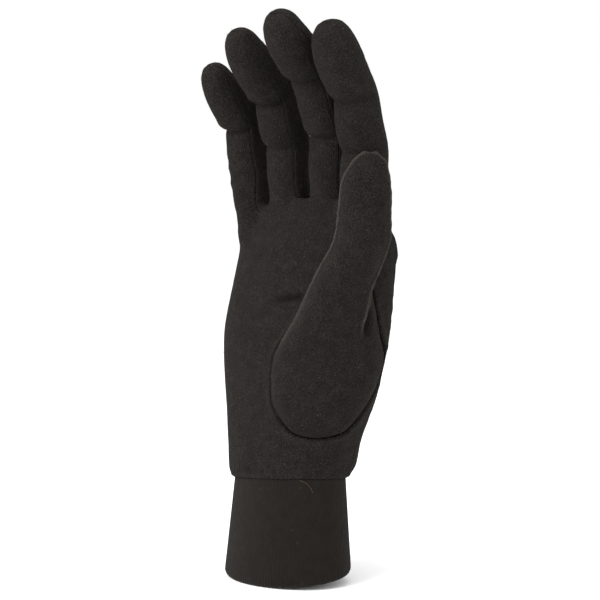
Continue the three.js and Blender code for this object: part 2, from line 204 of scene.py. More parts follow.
@dataclass
class Cloth:
    """A skin of triangles in millimetres, with values at its points."""

    points: np.ndarray
    faces: np.ndarray
    values: dict[str, np.ndarray] = field(default_factory=dict)

    def normals(self) -> np.ndarray:
        """The outward direction at each point.

        Returns:
            A unit vector for each point.
        """
        a, b, c = (self.points[self.faces[:, i]] for i in range(3))
        flat = np.cross(b - a, c - a)
        out = np.zeros_like(self.points)
        for i in range(3):
            for axis in range(3):
                out[:, axis] += np.bincount(self.faces[:, i], flat[:, axis], len(out))
        return out / np.maximum(np.linalg.norm(out, axis=1, keepdims=True), 1e-12)

    def edges(self) -> tuple[np.ndarray, np.ndarray]:
        """Every edge once, and how many faces use it."""
        pairs = np.sort(self.faces[:, [0, 1, 1, 2, 2, 0]].reshape(-1, 2), axis=1)
        return np.unique(pairs, axis=0, return_counts=True)

    def relax(self, weight: np.ndarray, rounds: int) -> None:
        """Draws points to the middle of their neighbours.

        Args:
            weight: how far each point goes in a round, from 0 to 1.
            rounds: how often.
        """
        pairs, _ = self.edges()
        count = len(self.points)
        ends, others = np.concatenate([pairs, pairs[:, ::-1]]).T
        share = 1 / np.maximum(np.bincount(ends, minlength=count), 1)
        for _ in range(rounds):
            mean = np.stack([np.bincount(ends, self.points[others, i], count) * share for i in range(3)], 1)
            self.points += (mean - self.points) * weight[:, None]

    def cut(self, height: np.ndarray, seam: Seam) -> "Cloth":
        """Cuts the cloth along the line where a height is zero.

        Args:
            height: a signed distance at each point, in millimetres.
            seam: the seam that the new edge belongs to.

        Returns:
            The side where the height is above zero.
        """
        h = np.where(np.abs(height) < 0.03, 0.03, height)
        up = h[self.faces] > 0
        whole = self.faces[up.all(axis=1)]
        parts, lone = [], []
        for count in (1, 2):
            some = self.faces[up.sum(axis=1) == count]
            first = np.argmax((h[some] > 0) == (count == 1), axis=1)
            some = np.stack([some[np.arange(len(some)), (first + i) % 3] for i in range(3)], 1)
            parts.append(some)
            lone.append(np.concatenate([some[:, [0, 1]], some[:, [0, 2]]]))
        pairs = np.sort(np.concatenate(lone), axis=1)
        ends, place = np.unique(pairs, axis=0, return_inverse=True)
        place = place.reshape(-1) + len(self.points)
        t = h[ends[:, 0]] / (h[ends[:, 0]] - h[ends[:, 1]])

        def between(data: np.ndarray) -> np.ndarray:
            """Adds the values on the cut edges to the values at the points."""
            share = t.reshape(-1, *[1] * (data.ndim - 1))
            return np.concatenate([data, data[ends[:, 0]] * (1 - share) + data[ends[:, 1]] * share])

        n = len(parts[0])
        m = len(parts[1])
        ab, ac = place[:n], place[n : 2 * n]
        db, dc = place[2 * n : 2 * n + m], place[2 * n + m :]
        tips = np.stack([parts[0][:, 0], ab, ac], 1)
        low = np.stack([db, parts[1][:, 1], parts[1][:, 2]], 1)
        high = np.stack([db, parts[1][:, 2], dc], 1)
        faces = np.concatenate([whole, tips, low, high])
        values = {k: between(v) for k, v in self.values.items() if k != "seam"}
        old = self.values.get("seam", np.zeros(len(self.points), int))
        values["seam"] = np.concatenate([old, np.full(len(ends), seam.value)])
        used, faces = np.unique(faces, return_inverse=True)
        values = {k: v[used] for k, v in values.items()}
        return Cloth(between(self.points)[used], faces.reshape(-1, 3), values)

    def largest(self) -> "Cloth":
        """The largest connected part of the cloth, without crumbs.

        Returns:
            A new cloth.
        """
        pairs, _ = self.edges()
        label = np.arange(len(self.points))
        while True:
            low = np.minimum(label[pairs[:, 0]], label[pairs[:, 1]])
            new = label.copy()
            np.minimum.at(new, pairs[:, 0], low)
            np.minimum.at(new, pairs[:, 1], low)
            new = new[new]
            if (new == label).all():
                break
            label = new
        names, counts = np.unique(label[self.faces[:, 0]], return_counts=True)
        keep = self.faces[label[self.faces[:, 0]] == names[np.argmax(counts)]]
        used, faces = np.unique(keep, return_inverse=True)
        return Cloth(self.points[used], faces.reshape(-1, 3), {k: v[used] for k, v in self.values.items()})

    def rim(self, seam: Seam) -> np.ndarray:
        """Points along the cut edge of one seam, closer together than the mesh's own.

        Args:
            seam: which seam.

        Returns:
            The points, one a row.
        """
        pairs, uses = self.edges()
        ends = pairs[(uses == 1) & (self.values["seam"][pairs] == seam.value).all(axis=1)]
        a, b = self.points[ends[:, 0]], self.points[ends[:, 1]]
        return np.concatenate([a + (b - a) * t for t in (0, 0.25, 0.5, 0.75)])

    def apart(self, rim: np.ndarray, reach: float) -> np.ndarray:
        """How far each point is from a seam.

        Args:
            rim: points along the seam.
            reach: the largest distance that counts, in millimetres.

        Returns:
            Distances, reach where it is further.
        """
        away = np.full(len(self.points), reach)
        if not len(rim):
            return away
        tree = KDTree(len(rim))
        for i, p in enumerate(rim):
            tree.insert(p, i)
        tree.balance()
        near = np.ones(len(self.points), bool)
        for axis in range(3):
            low, high = rim[:, axis].min() - reach, rim[:, axis].max() + reach
            near &= (self.points[:, axis] > low) & (self.points[:, axis] < high)
        for i in np.flatnonzero(near):
            away[i] = min(reach, tree.find(self.points[i])[2])
        return away

    def outside(self, points: np.ndarray, reach: float) -> np.ndarray:
        """How far points lie outside this closed skin.

        Args:
            points: the points to measure, in millimetres.
            reach: the largest distance that counts.

        Returns:
            Signed distances, below zero inside.
        """
        tree = BVHTree.FromPolygons(self.points.tolist(), self.faces.tolist())
        away = np.full(len(points), reach)
        low, high = self.points.min(axis=0) - reach, self.points.max(axis=0) + reach
        for i in np.flatnonzero(((points > low) & (points < high)).all(axis=1)):
            at, out, _, gap = tree.find_nearest(points[i])
            away[i] = gap if (Vector(points[i]) - at).dot(out) > 0 else -gap
        return away

    def piece(self, name: str) -> bpy.types.Object:
        """Makes the cloth an object in metres, with its UV map and its values for the finish.

        Args:
            name: the piece's name.

        Returns:
            The object, smooth shaded.
        """
        mesh = bpy.data.meshes.new(name)
        mesh.from_pydata((self.points * MM).tolist(), [], self.faces.tolist())
        if "grain" in self.values:
            layer = mesh.uv_layers.new(name="grain")
            layer.data.foreach_set("uv", (self.values["grain"][self.faces.reshape(-1)] * MM).ravel())
        # the point values carry the pale seam rolls, part wear and part painted highlight, and the painted shade of
        # seam lines, creases and folds
        for value in ("wear_and_highlight", "line", "painted_shade"):
            if value in self.values:
                mesh.attributes.new(value, "FLOAT", "POINT").data.foreach_set("value", self.values[value])
        mesh.shade_smooth()
        made = bpy.data.objects.new(name, mesh)
        bpy.context.scene.collection.objects.link(made)
        return made


def loft(rings: np.ndarray) -> Cloth:
    """Skins a closed tube over rings that all turn the same way, with a point in the middle of each end.

    Args:
        rings: the rings' points, by ring, place in the ring, and axis.

    Returns:
        The closed skin.
    """
    rows, count = rings.shape[:2]
    start = np.arange(rows - 1)[:, None] * count
    j, k = np.arange(count), (np.arange(count) + 1) % count
    quads = np.stack([start + j, start + k, start + count + k, start + count + j], -1).reshape(-1, 4)
    last = (rows - 1) * count
    foot, tip = rows * count, rows * count + 1
    ends = [np.stack([k, j, np.full(count, foot)], 1), np.stack([last + j, last + k, np.full(count, tip)], 1)]
    faces = np.concatenate([quads[:, [0, 1, 2]], quads[:, [0, 2, 3]], *ends])
    points = np.concatenate([rings.reshape(-1, 3), [rings[0].mean(axis=0)], [rings[-1].mean(axis=0)]])
    return Cloth(points, faces)


def joined(skins: list[Cloth]) -> Cloth:
    """Joins closed skins into one.

    Args:
        skins: the closed skins, which overlap.

    Returns:
        Their union.
    """
    first, *rest = [skin.piece(f"form_{i}") for i, skin in enumerate(skins)]
    for other in rest:
        union = first.modifiers.new("union", "BOOLEAN")
        union.operation = "UNION"
        union.solver = "MANIFOLD"
        union.object = other
    bpy.context.view_layer.update()
    mesh = bpy.data.meshes.new_from_object(first.evaluated_get(bpy.context.evaluated_depsgraph_get()))
    mesh.calc_loop_triangles()
    points = np.zeros(len(mesh.vertices) * 3)
    mesh.vertices.foreach_get("co", points)
    faces = np.zeros(len(mesh.loop_triangles) * 3, int)
    mesh.loop_triangles.foreach_get("vertices", faces)
    bpy.data.meshes.remove(mesh)
    for made in (first, *rest):
        bpy.data.meshes.remove(made.data)
    return Cloth(points.reshape(-1, 3) / MM, faces.reshape(-1, 3))


def joined_ground(cloths: list[Cloth]) -> Cloth:
    """One cloth of the triangles of several, without their values.

    Args:
        cloths: the cloths to put together.

    Returns:
        The cloth.
    """
    starts = np.cumsum([0] + [len(cloth.points) for cloth in cloths[:-1]])
    faces = np.concatenate([cloth.faces + start for cloth, start in zip(cloths, starts)])
    return Cloth(np.concatenate([cloth.points for cloth in cloths]), faces)


def add_node(tree: bpy.types.NodeTree, kind: str, inputs: dict | None = None, **settings) -> bpy.types.Node:
    """Adds a node with its settings, input values and links.

    Args:
        tree: the tree that gets the node.
        kind: the node's type.
        inputs: values or other nodes' outputs, by the input's name or number.
        settings: the node's own settings.

    Returns:
        The node.
    """
    made = tree.nodes.new(kind)
    for name, value in settings.items():
        setattr(made, name, value)
    for name, value in (inputs or {}).items():
        if isinstance(value, bpy.types.NodeSocket):
            tree.links.new(value, made.inputs[name])
        else:
            made.inputs[name].default_value = value
    return made


def linear(hex_colour: str) -> tuple[float, float, float, float]:
    """Turns an sRGB hex colour into the linear colour that the shaders take.

    Args:
        hex_colour: six hex digits, red first.

    Returns:
        Linear red, green, blue and an alpha of one.
    """
    parts = [int(hex_colour[i : i + 2], 16) / 255 for i in (0, 2, 4)]
    parts = [c / 12.92 if c <= 0.04045 else ((c + 0.055) / 1.055) ** 2.4 for c in parts]
    return (parts[0], parts[1], parts[2], 1.0)


@dataclass(frozen=True)
class HandForm:
    """The form of the hand, fingers and thumb that the liner takes when it is worn, in millimetres."""

    cuff_height: float = 43.3
    cuff_width: float = 57.6
    cuff_depth: float = 41.0
    mouth_width: float = 65.4
    mouth_depth: float = 48.0
    mouth_tilt: float = -7.8
    mouth_turn: float = -5.0
    seam_tilt: float = 8.0
    seam_turn: float = 42.0
    seam_side: float = 1.6
    palm_height: float = 128.0
    palm_width: float = 90.0
    palm_depth: float = 38.0
    foot_rise: float = 7.0
    edge_seam_back: float = 7.0
    heel_seam_back: float = 6.0
    thumb_seam_front: float = 2.9
    knuckle_fall: float = 20.0
    knuckle_drop: float = 19.0
    knuckle_rise: float = 3.5
    knuckle_reach: float = 11.0
    thumb_turn: float = 42.0
    thumb_foot: float = 20.0
    thumb_length: float = 131.5
    thumb_width: float = 53.0
    thumb_depth: float = 40.0
    finger_length: float = 98.4
    joints: tuple[float, float] = (0.3, 0.553)
    joint_reach: float = 0.12
    spacing: float = 0.75

    fingers: ClassVar[tuple[Finger, ...]] = (
        Finger("index", 0.371, 0.387, 5, 0.243, 0.92, 0.925, 1.6,
               bends=(3.1, 13.3, 13.1), creases=(0.3, 0.58), depths=(0.6, 0.7), full=0.2),
        Finger("middle", 0.132, 0.474, 3, 0.23, 0.92, 1.008, 1.1,
               bends=(4.6, 20.5, 13.8), creases=(0.33, 0.64), depths=(1.0, 1.3), full=1.8),
        Finger("ring", -0.121, 0.4, 5.5, 0.216, 0.94, 0.925, -1.9,
               bends=(6.4, 12.4, 17.9), creases=(0.32, 0.57), depths=(0.7, 1.3), full=2.2),
        Finger("little", -0.359, 0.326, 11, 0.194, 0.94, 0.79, -3,
               bends=(4.7, 6.8, 21.6), creases=(0.25, 0.55), depths=(0.1, 1.1), full=2.8),
    )
    palm_table: ClassVar[Table] = Table("side back wide deep", [
        (0.0, 0.004, 0.04, 0.66, 1.12), (0.02, 0.0, 0.06, 0.675, 1.15), (0.05, -0.002, 0.09, 0.69, 1.18),
        (0.15, 0.003, 0.125, 0.752, 1.24), (0.28, 0.006, 0.205, 0.87, 1.24),
        (0.41, 0.005, 0.265, 0.965, 1.18),
        (0.53, 0.002, 0.33, 1.015, 1.12), (0.68, 0.009, 0.405, 1.005, 1.0), (0.82, 0.015, 0.44, 0.965, 0.87),
        (0.93, 0.02, 0.425, 0.92, 0.66), (1.0, 0.005, 0.41, 0.88, 0.42),
    ])
    finger_table: ClassVar[Table] = Table("pad wide deep", [
        (-0.16, 0, 1.0, 0.98), (0.0, 0, 1.0, 1.02), (0.16, 0.01, 0.99, 1.02), (0.3, -0.05, 0.98, 0.92),
        (0.42, 0.01, 0.98, 0.97), (0.55, -0.05, 0.95, 0.86), (0.68, 0.04, 0.99, 1.0),
        (0.82, 0.06, 0.97, 0.98),
        (0.92, 0.05, 0.8, 0.8), (0.97, 0.03, 0.55, 0.54), (0.99, 0.02, 0.28, 0.28),
    ])
    strip_table: ClassVar[Table] = Table("half", [
        (-0.1, 0.26), (0.1, 0.28), (0.6, 0.2), (0.82, 0.1), (0.9, 0.04),
    ])
    thumb_table: ClassVar[Table] = Table("side front wide deep turn", [
        (0.012, 0.25, 0.575, 0.05, 0.1, 0), (0.026, 0.256, 0.55, 0.34, 0.28, 0),
        (0.045, 0.262, 0.52, 0.51, 0.42, 0),
        (0.12, 0.28, 0.455, 0.775, 0.65, 0),
        (0.2, 0.318, 0.41, 0.895, 0.8, 0), (0.29, 0.358, 0.41, 0.925, 0.86, 26),
        (0.37, 0.392, 0.5, 0.775, 0.82, 38),
        (0.45, 0.42, 0.61, 0.63, 0.77, 32), (0.53, 0.452, 0.74, 0.52, 0.72, 17),
        (0.62, 0.54, 0.88, 0.485, 0.64, 0),
        (0.7, 0.62, 0.97, 0.447, 0.6, 0), (0.8, 0.638, 1.07, 0.41, 0.56, 0),
        (0.9, 0.648, 1.12, 0.375, 0.52, 0),
        (0.96, 0.672, 1.14, 0.26, 0.38, 0), (0.99, 0.677, 1.15, 0.13, 0.2, 0),
    ])

    def root(self, finger: Finger) -> np.ndarray:
        """Where a finger's middle line starts."""
        level = self.cuff_height + self.palm_height - finger.drop
        return np.array([finger.side * self.palm_width, finger.back * self.palm_depth, level])

    def above_seam(self, points: np.ndarray) -> np.ndarray:
        """How far points lie above the cuff's seam, which leans with it."""
        lean = math.tan(math.radians(self.seam_tilt)) * (points @ facing(self.seam_turn))
        return points[:, 2] - self.cuff_height - lean

    def palm(self) -> Cloth:
        """The closed form of the hand below the fingers. It runs out a little below the cuff's seam.

        Returns:
            The skin, without the turned-in foot and its gathers.
        """
        at = np.linspace(-0.05, 1, int(1.05 * self.palm_height / self.spacing))
        share = np.clip(at, 0, 1)
        columns = ("side", "back", "wide", "deep")
        side, back, wide, deep = (self.palm_table.read(column, share)[:, None] for column in columns)
        around = oval(int(2.5 * self.palm_width / self.spacing), 2.3)
        x = side * self.palm_width + around[:, 0] * wide * self.palm_width / 2
        y = back * self.palm_depth + around[:, 1] * deep * self.palm_depth / 2
        z = self.cuff_height + self.palm_height * at[:, None] + 0 * x
        for finger in self.fingers:
            root = self.root(finger)
            near = np.hypot(x - root[0], z - root[2] + self.knuckle_drop) / self.knuckle_reach
            bump = self.knuckle_rise * np.exp(-(near**2)) * smoothstep(around[:, 1], 0, 0.5)
            y = y + bump
        z = z + self.knuckle_fall * share[:, None] ** 3 * np.minimum(0, x / self.palm_width)
        out = facing(self.seam_turn)
        lean = np.tan(np.radians(self.seam_tilt * (1 - share[:, None]) ** 3))
        z = z + lean * (x * out[0] + (y - back * self.palm_depth) * out[1])
        rings = np.stack([x, y, z], -1)
        top = rings[-1]
        lid = top.mean(axis=0) + (top - top.mean(axis=0)) * np.linspace(0.97, 0.03, 28)[:, None, None]
        return loft(np.concatenate([rings, lid]))

    def middle_line(self, finger: Finger) -> dict[str, np.ndarray]:
        """The middle line of a finger with its directions.

        Args:
            finger: which finger.

        Returns:
            Shares of the length, and the point, heading, side and back directions and pad there.
        """
        at = np.linspace(-0.24, 1.08, 133)
        bend = finger.bends[0] + 0 * at
        for joint, angle in zip(self.joints, finger.bends[1:]):
            bend = bend + angle * smoothstep(at, joint - self.joint_reach / 2, joint + self.joint_reach / 2)
        bend, splay = np.radians(bend)[:, None], math.radians(finger.splay)
        rise = np.array([math.sin(splay), 0, math.cos(splay)])
        lateral = np.array([math.cos(splay), 0, -math.sin(splay)])
        heading = rise * np.cos(bend) - np.array([0, 1, 0]) * np.sin(bend)
        length = finger.long * self.finger_length
        run = np.concatenate([[np.zeros(3)], np.cumsum((heading[1:] + heading[:-1]) / 2, axis=0)])
        run *= (at[1] - at[0]) * length
        zero = np.array([np.interp(0, at, run[:, i]) for i in range(3)])
        depth = finger.wide * finger.deep * self.palm_width
        pad = self.finger_table.read("pad", finger.shape_at(at)) * depth
        return {
            "at": at, "point": run - zero + self.root(finger), "heading": heading, "pad": pad,
            "lateral": lateral + 0 * heading, "back": np.cross(heading, lateral),
        }

    def finger(self, finger: Finger) -> Cloth:
        """The closed form of one finger, from inside the palm to its tip.

        Args:
            finger: which finger.

        Returns:
            The skin.
        """
        line = self.middle_line(finger)
        steps = np.linspace(-0.16, 0.93, int(1.09 * finger.long * self.finger_length / self.spacing))
        at = np.concatenate([steps, np.linspace(0.935, 0.99, 16)])
        place = {k: np.stack([np.interp(at, line["at"], v[:, i]) for i in range(3)], 1)[:, None]
                 for k, v in line.items() if v.ndim == 2}
        pad = np.interp(at, line["at"], line["pad"])[:, None, None]
        width = finger.wide * self.palm_width
        shape = finger.shape_at(at)
        half_wide = (self.finger_table.read("wide", shape) * width / 2)[:, None, None]
        half_deep = (self.finger_table.read("deep", shape) * width * finger.deep / 2)[:, None, None]
        around = oval(int(3.1 * width / self.spacing), 2.2)
        across, along = around[None, :, :1], around[None, :, 1:]
        middle = place["point"] - pad * place["back"]
        return loft(middle + half_wide * across * place["lateral"] + half_deep * along * place["back"])

    def thumb(self) -> Cloth:
        """The closed form of the thumb and its ball, with its own grain and its height before the side seams.

        Returns:
            The skin with values "grain" and "front".
        """
        foot = self.thumb_table.shares[0]
        # closer rows at the foot and at the tip, where the form rounds over
        at = np.concatenate([
            np.linspace(foot, 0.04, 14), np.linspace(0.045, 0.93, 156), np.linspace(0.935, 0.99, 16),
        ])
        get = {c: self.thumb_table.read(c, at)[:, None] for c in ("side", "front", "wide", "deep", "turn")}
        forward, aside = facing(self.thumb_turn), facing(self.thumb_turn + 90)
        around = oval(168, 2.3)
        across = around[:, 0] * get["wide"] * self.thumb_width / 2
        front = -around[:, 1] * get["deep"] * self.thumb_depth / 2
        level = self.cuff_height + self.thumb_foot + self.thumb_length * at[:, None] + 0 * across
        rings = np.stack([level * 0, level * 0, level], -1)
        rings = rings + (get["side"] * self.thumb_width + across)[..., None] * aside
        rings = rings + (get["front"] * self.thumb_depth + front)[..., None] * forward
        skin = loft(rings)
        turn = np.radians(get["turn"]) * smoothstep(across, 0, 4)
        height = front * np.cos(turn) - across * np.sin(turn)
        skin.values["front"] = np.concatenate([height.ravel(), [0, 0]]) - self.thumb_seam_front
        step = np.linalg.norm(np.roll(rings, -1, axis=1) - rings, axis=2)
        for panel, far in (("palm_grain", 0.25), ("back_grain", 0.75)):
            start = int(far * len(around))
            arc = np.roll(np.cumsum(np.roll(step, -start, axis=1), axis=1), start, axis=1)
            grain = np.stack([arc, level], -1).reshape(-1, 2)
            skin.values[panel] = np.concatenate([grain, grain[:1], grain[-1:]])
        return skin


@dataclass(frozen=True)
class Fold:
    """A soft fold in the cloth between two points of the form: below zero a valley, above zero a ridge."""

    start: tuple[float, float, float]
    end: tuple[float, float, float]
    height: float
    width: float

    def rise(self, points: np.ndarray) -> np.ndarray:
        """How far the fold lifts points.

        Args:
            points: places in millimetres.

        Returns:
            Heights in millimetres.
        """
        a, b = np.array(self.start), np.array(self.end)
        run = b - a
        t = np.clip((points - a) @ run / (run @ run), 0, 1)
        away = np.linalg.norm(points - a - t[:, None] * run, axis=1)
        fade = smoothstep(t, 0, 0.3) * (1 - smoothstep(t, 0.7, 1)) * 0.7 + 0.3
        return self.height * fade * np.exp(-((away / self.width) ** 2))


def unevenness(points: np.ndarray, size: float, seed: float) -> np.ndarray:
    """Smooth noise from -1 to 1 over the form.

    Args:
        points: places in millimetres.
        size: how large its lumps are, in millimetres.
        seed: which noise.

    Returns:
        A value for each point.
    """
    return np.array([noise.noise((x / size + seed, y / size, z / size)) for x, y, z in points.tolist()])


@dataclass
class JerseyHand:
    """The cut and sewn jersey of the glove: palm, back, the strips between the fingers, and the thumb."""

    form: HandForm = field(default_factory=HandForm)
    wall: float = 1.2
    seam_reach: float = 9.0
    edge_gap: float = 0.02
    underlap: float = 2.0
    crease_width: float = 1.5
    gather_rise: float = 17.0
    gather_depth: float = 0.7
    dart_end: float = 101.0
    far_dart_rise: float = 8.0
    dart_fade: float = 10.0
    wear_and_highlight_width: float = 0.66
    folds: tuple[Fold, ...] = (
        Fold((-3.0, -5.0, 125.0), (16.0, -4.2, 127.9), -1.8, 1.6),
        Fold((-3.0, -5.0, 121.6), (14.0, -4.5, 124.4), 0.5, 2.0),
        Fold((46.5, 9.0, 123.0), (43.9, 22.0, 126.5), -0.6, 1.2),
        Fold((46.0, 12.0, 120.5), (43.9, 22.0, 118.6), -0.6, 1.2),
        Fold((46.0, 12.0, 116.5), (44.7, 20.0, 112.5), -0.5, 1.2),
        Fold((45.0, 13.0, 122.5), (43.5, 23.0, 122.5), 0.4, 1.4),
        Fold((40.0, 28.0, 158.0), (41.0, 28.0, 141.0), 1.6, 8.0),
        Fold((-40.0, 4.0, 187.0), (-40.0, 5.0, 172.0), 1.4, 7.0),
        Fold((-42.0, 6.0, 166.0), (-43.0, 7.0, 153.0), -0.8, 7.0),
    )
    thumb_folds: tuple[Fold, ...] = (
        Fold((50.5, 1.0, 125.5), (48.0, -1.5, 111.0), -2.8, 2.6),
        Fold((51.6, -18.8, 150.5), (40.2, -15.0, 116.0), 0.75, 3.0),
        Fold((49.0, -19.5, 150.0), (57.0, -15.9, 151.0), -0.3, 1.4),
    )

    def measure(self, skin: Cloth) -> None:
        """Gives a hand skin its places on the fingers, its heights before each seam line, and its grain.

        Args:
            skin: the joined skin of hand and fingers, which gets the values.
        """
        form, p = self.form, skin.points
        places = []
        for finger in form.fingers:
            line = {k: v[::2] for k, v in form.middle_line(finger).items()}
            far = (line["point"] ** 2).sum(axis=1) - 2 * p @ line["point"].T
            k = np.argmin(far, axis=1)
            rel = p - line["point"][k]
            length = finger.long * form.finger_length
            at = line["at"][k] + (rel * line["heading"][k]).sum(axis=1) / length
            across, back = rel @ line["lateral"][0], (rel * line["back"][k]).sum(axis=1) + line["pad"][k]
            width = finger.wide * form.palm_width
            shape = np.minimum(finger.shape_at(at), 0.97)
            half_wide = form.finger_table.read("wide", shape) * width / 2
            half_deep = form.finger_table.read("deep", shape) * width * finger.deep / 2
            around = np.hypot(across / half_wide, back / half_deep * smoothstep(at, -0.2, 0.05))
            out = (around - 1) * half_wide
            half = form.strip_table.read("half", np.clip(at, -0.1, 0.9)) * width * finger.deep
            places.append({
                "at": at, "across": across, "back": back, "out": out, "strip": half - np.abs(back),
                "length": at * length, "half_wide": half_wide, "half_deep": half_deep,
            })
        for i in range(3):
            right, left = places[i], places[i + 1]
            mix = smoothstep(left["out"] - right["out"], -0.6, 0.6)
            both = {k: left[k] * (1 - mix) + right[k] * mix for k in ("strip", "at")}
            ends = np.minimum((both["at"] + 0.1) * 90, (0.9 - both["at"]) * 90)
            sides = np.minimum(left["across"] + 2, 2 - right["across"])
            skin.values[f"strip_{i}"] = np.minimum(np.minimum(both["strip"], ends), sides)
        nearest = np.argmin([place["out"] for place in places], axis=0)
        own = {k: np.choose(nearest, [place[k] for place in places]) for k in places[0]}
        rise = smoothstep(own["at"], -0.2, -0.02)
        share = np.clip((p[:, 2] - form.cuff_height) / form.palm_height, 0, 1)
        centre = form.palm_table.read("back", share) * form.palm_depth
        set_back = form.edge_seam_back * smoothstep(places[0]["across"], 0, form.fingers[0].wide * 30)
        heel = smoothstep(p[:, 0], 0, 15) * (1 - smoothstep(p[:, 2], 50, 115))
        set_back = set_back + self.form.heel_seam_back * heel
        skin.values["side"] = (1 - rise) * (p[:, 1] - centre) + rise * own["back"] - set_back
        roots = np.choose(nearest, [form.root(finger)[0] for finger in form.fingers])
        reach = form.palm_table.read("wide", share) * form.palm_width / 2
        level = p[:, 0] / reach
        flat = reach * (level + 0.19 * np.sign(level) * np.minimum(np.abs(level), 1.05) ** 9)
        feet = np.choose(nearest, [form.root(finger)[2] for finger in form.fingers])
        rise = smoothstep(own["at"], -0.02, 0.12)
        along = (1 - rise) * p[:, 2] + rise * (feet + own["length"])
        for panel, sign in (("palm_grain", -1), ("back_grain", 1)):
            arc = roots + own["half_wide"] * np.arctan2(own["across"], sign * own["back"])
            skin.values[panel] = np.stack([(1 - rise) * flat + rise * arc, along], 1)
        skin.values["at"] = own["at"]
        skin.values["pad_side"] = -own["back"] / own["half_deep"]
        skin.values["full"] = np.choose(nearest, [finger.full for finger in form.fingers])
        for i in range(2):
            creases = np.choose(nearest, [finger.creases[i] for finger in form.fingers])
            lengths = np.choose(nearest, [finger.long * form.finger_length for finger in form.fingers])
            skin.values[f"crease_{i}"] = (own["at"] - creases) * lengths
            skin.values[f"depth_{i}"] = np.choose(nearest, [finger.depths[i] for finger in form.fingers])

    def soften(self, skin: Cloth) -> None:
        """Rounds the joins of the fingers and the palm, as the cloth stretches over them.

        Args:
            skin: the hand's skin, whose points move.
        """
        at = skin.values["at"]
        web = smoothstep(at, -0.42, -0.2) * (1 - smoothstep(at, 0.06, 0.22))
        skin.relax(0.05 + 0.5 * web, 45)

    def foot(self, skin: Cloth) -> np.ndarray:
        """Draws the foot of the hand in to the cuff and gathers it there.

        Args:
            skin: the hand's skin, whose points move.

        Returns:
            How far each point is above the seam.
        """
        form, p = self.form, skin.points
        above = form.above_seam(p)
        low = np.clip(above, 0, form.foot_rise) / form.foot_rise
        eased = np.sqrt(1 - (1 - low) ** 2)
        across, along = p[:, 0] - form.seam_side, p[:, 1]
        radius = np.hypot(across, along)
        turn = np.arctan2(along, across)
        half = (form.cuff_width / 2 + 0.35, form.cuff_depth / 2 + 0.35)
        cuff = 1 / np.hypot(np.cos(turn) / half[0], np.sin(turn) / half[1])
        fade = eased * (1 - smoothstep(above, form.foot_rise, self.gather_rise))
        waves = 0.5 + 0.5 * np.cos(9 * turn + 1.3 * np.sin(2 * turn))
        small = np.cos(31 * turn + 2.1 * np.sin(5 * turn)) * (1 - smoothstep(above, 2, 9))
        rim = 0.22 * np.cos(62 * turn + np.sin(7 * turn)) * (1 - smoothstep(above, 0.5, 3.5))
        out = cuff + (radius - cuff) * eased + self.gather_depth * waves * fade
        out = out + 0.22 * small * eased + rim * eased
        scale = np.where(above < form.foot_rise + self.gather_rise, out / np.maximum(radius, 1e-6), 1)
        p[:, 0] = form.seam_side + across * scale
        p[:, 1] = along * scale
        return above

    def wear(self, skin: Cloth) -> None:
        """Sets the creases at the finger joints, the folds, and the small unevenness of worn jersey, and paints
        shade into the creases and the folds' valleys.

        Args:
            skin: the hand's skin, whose points move.
        """
        values, out = skin.values, skin.normals()
        wobble = unevenness(skin.points, 9, 3.0)
        rise, painted_shade = np.zeros(len(skin.points)), np.zeros(len(skin.points))
        inner = smoothstep(values["pad_side"], -0.15, 0.6)
        outer = smoothstep(-values["pad_side"], 0.0, 0.8)
        for i in range(2):
            away = values[f"crease_{i}"] + 1.2 * wobble
            # the pad above a crease bulges over it, and the length below starts with a sharp step
            depth = values[f"depth_{i}"] * inner
            rise -= 0.75 * depth * np.exp(-((away / self.crease_width) ** 2))
            rise += 0.75 * depth * np.exp(-(((away - 5.0) / 3.2) ** 2))
            rise += 0.2 * depth * np.exp(-(((away + 4.5) / 3.0) ** 2))
            # painted shade: darker just above the crease, under the bulging pad
            painted_shade += 0.9 * inner * depth * np.exp(-(((away - 0.8) / 1.7) ** 2))
            rise += 0.4 * values["full"] * np.exp(-((values[f"crease_{i}"] / 7.5) ** 2)) * outer
        length = smoothstep(values["at"], 0.22, 0.4) * (1 - smoothstep(values["at"], 0.7, 0.9))
        rise += values["full"] * length * outer
        rise += 0.22 * unevenness(skin.points * (1, 1, 0.55), 13, 7.0)
        rise += 0.07 * unevenness(skin.points, 4.5, 11.0)
        for fold in self.folds:
            lift = fold.rise(skin.points)
            rise += lift
            # painted shade in the fold's valley
            painted_shade += np.maximum(-lift, 0)
        skin.points += out * rise[:, None]
        values["painted_shade"] = np.clip(painted_shade * 0.6, 0, 1)

    def sew(self, cloth: Cloth, rims: dict[Seam, np.ndarray]) -> None:
        """Shapes the cloth beside its seams: the valley, the rolls and the puckers. It also sets how pale the rolls
        are, partly rubbed wear and partly a painted highlight, and where painted shade darkens the valleys.

        Args:
            cloth: one panel, cut out.
            rims: points along each seam that it has.
        """
        out, points = cloth.values["out"], cloth.points
        lumps = unevenness(points, 2.6, 5.0)
        rise, wear_and_highlight = np.zeros(len(points)), np.zeros(len(points))
        line = np.full(len(points), self.seam_reach)
        dart_end = self.dart_end + self.far_dart_rise * smoothstep(points[:, 1], -11, -4)
        above_dart = smoothstep(points[:, 2] - dart_end, 0, self.dart_fade)
        # the pale edge widens into a painted highlight along the roll where the thumb's front seam comes down to
        # its ball
        highlight_widening = 1.6 * (1 - smoothstep(points[:, 2], 116, 146)) * (1 - smoothstep(points[:, 1], -12, -5))
        for seam, rim in rims.items():
            look = SEAM_LOOKS[seam]
            signed = cloth.values["oval"] if seam is Seam.OVAL else cloth.apart(rim, self.seam_reach)
            away = np.abs(signed)
            strength = above_dart if seam is Seam.THUMB else 1
            rise += strength * look.rise(away) * (1 + 0.25 * lumps)
            rise += look.pucker * lumps * np.exp(-((away / 3.5) ** 2))
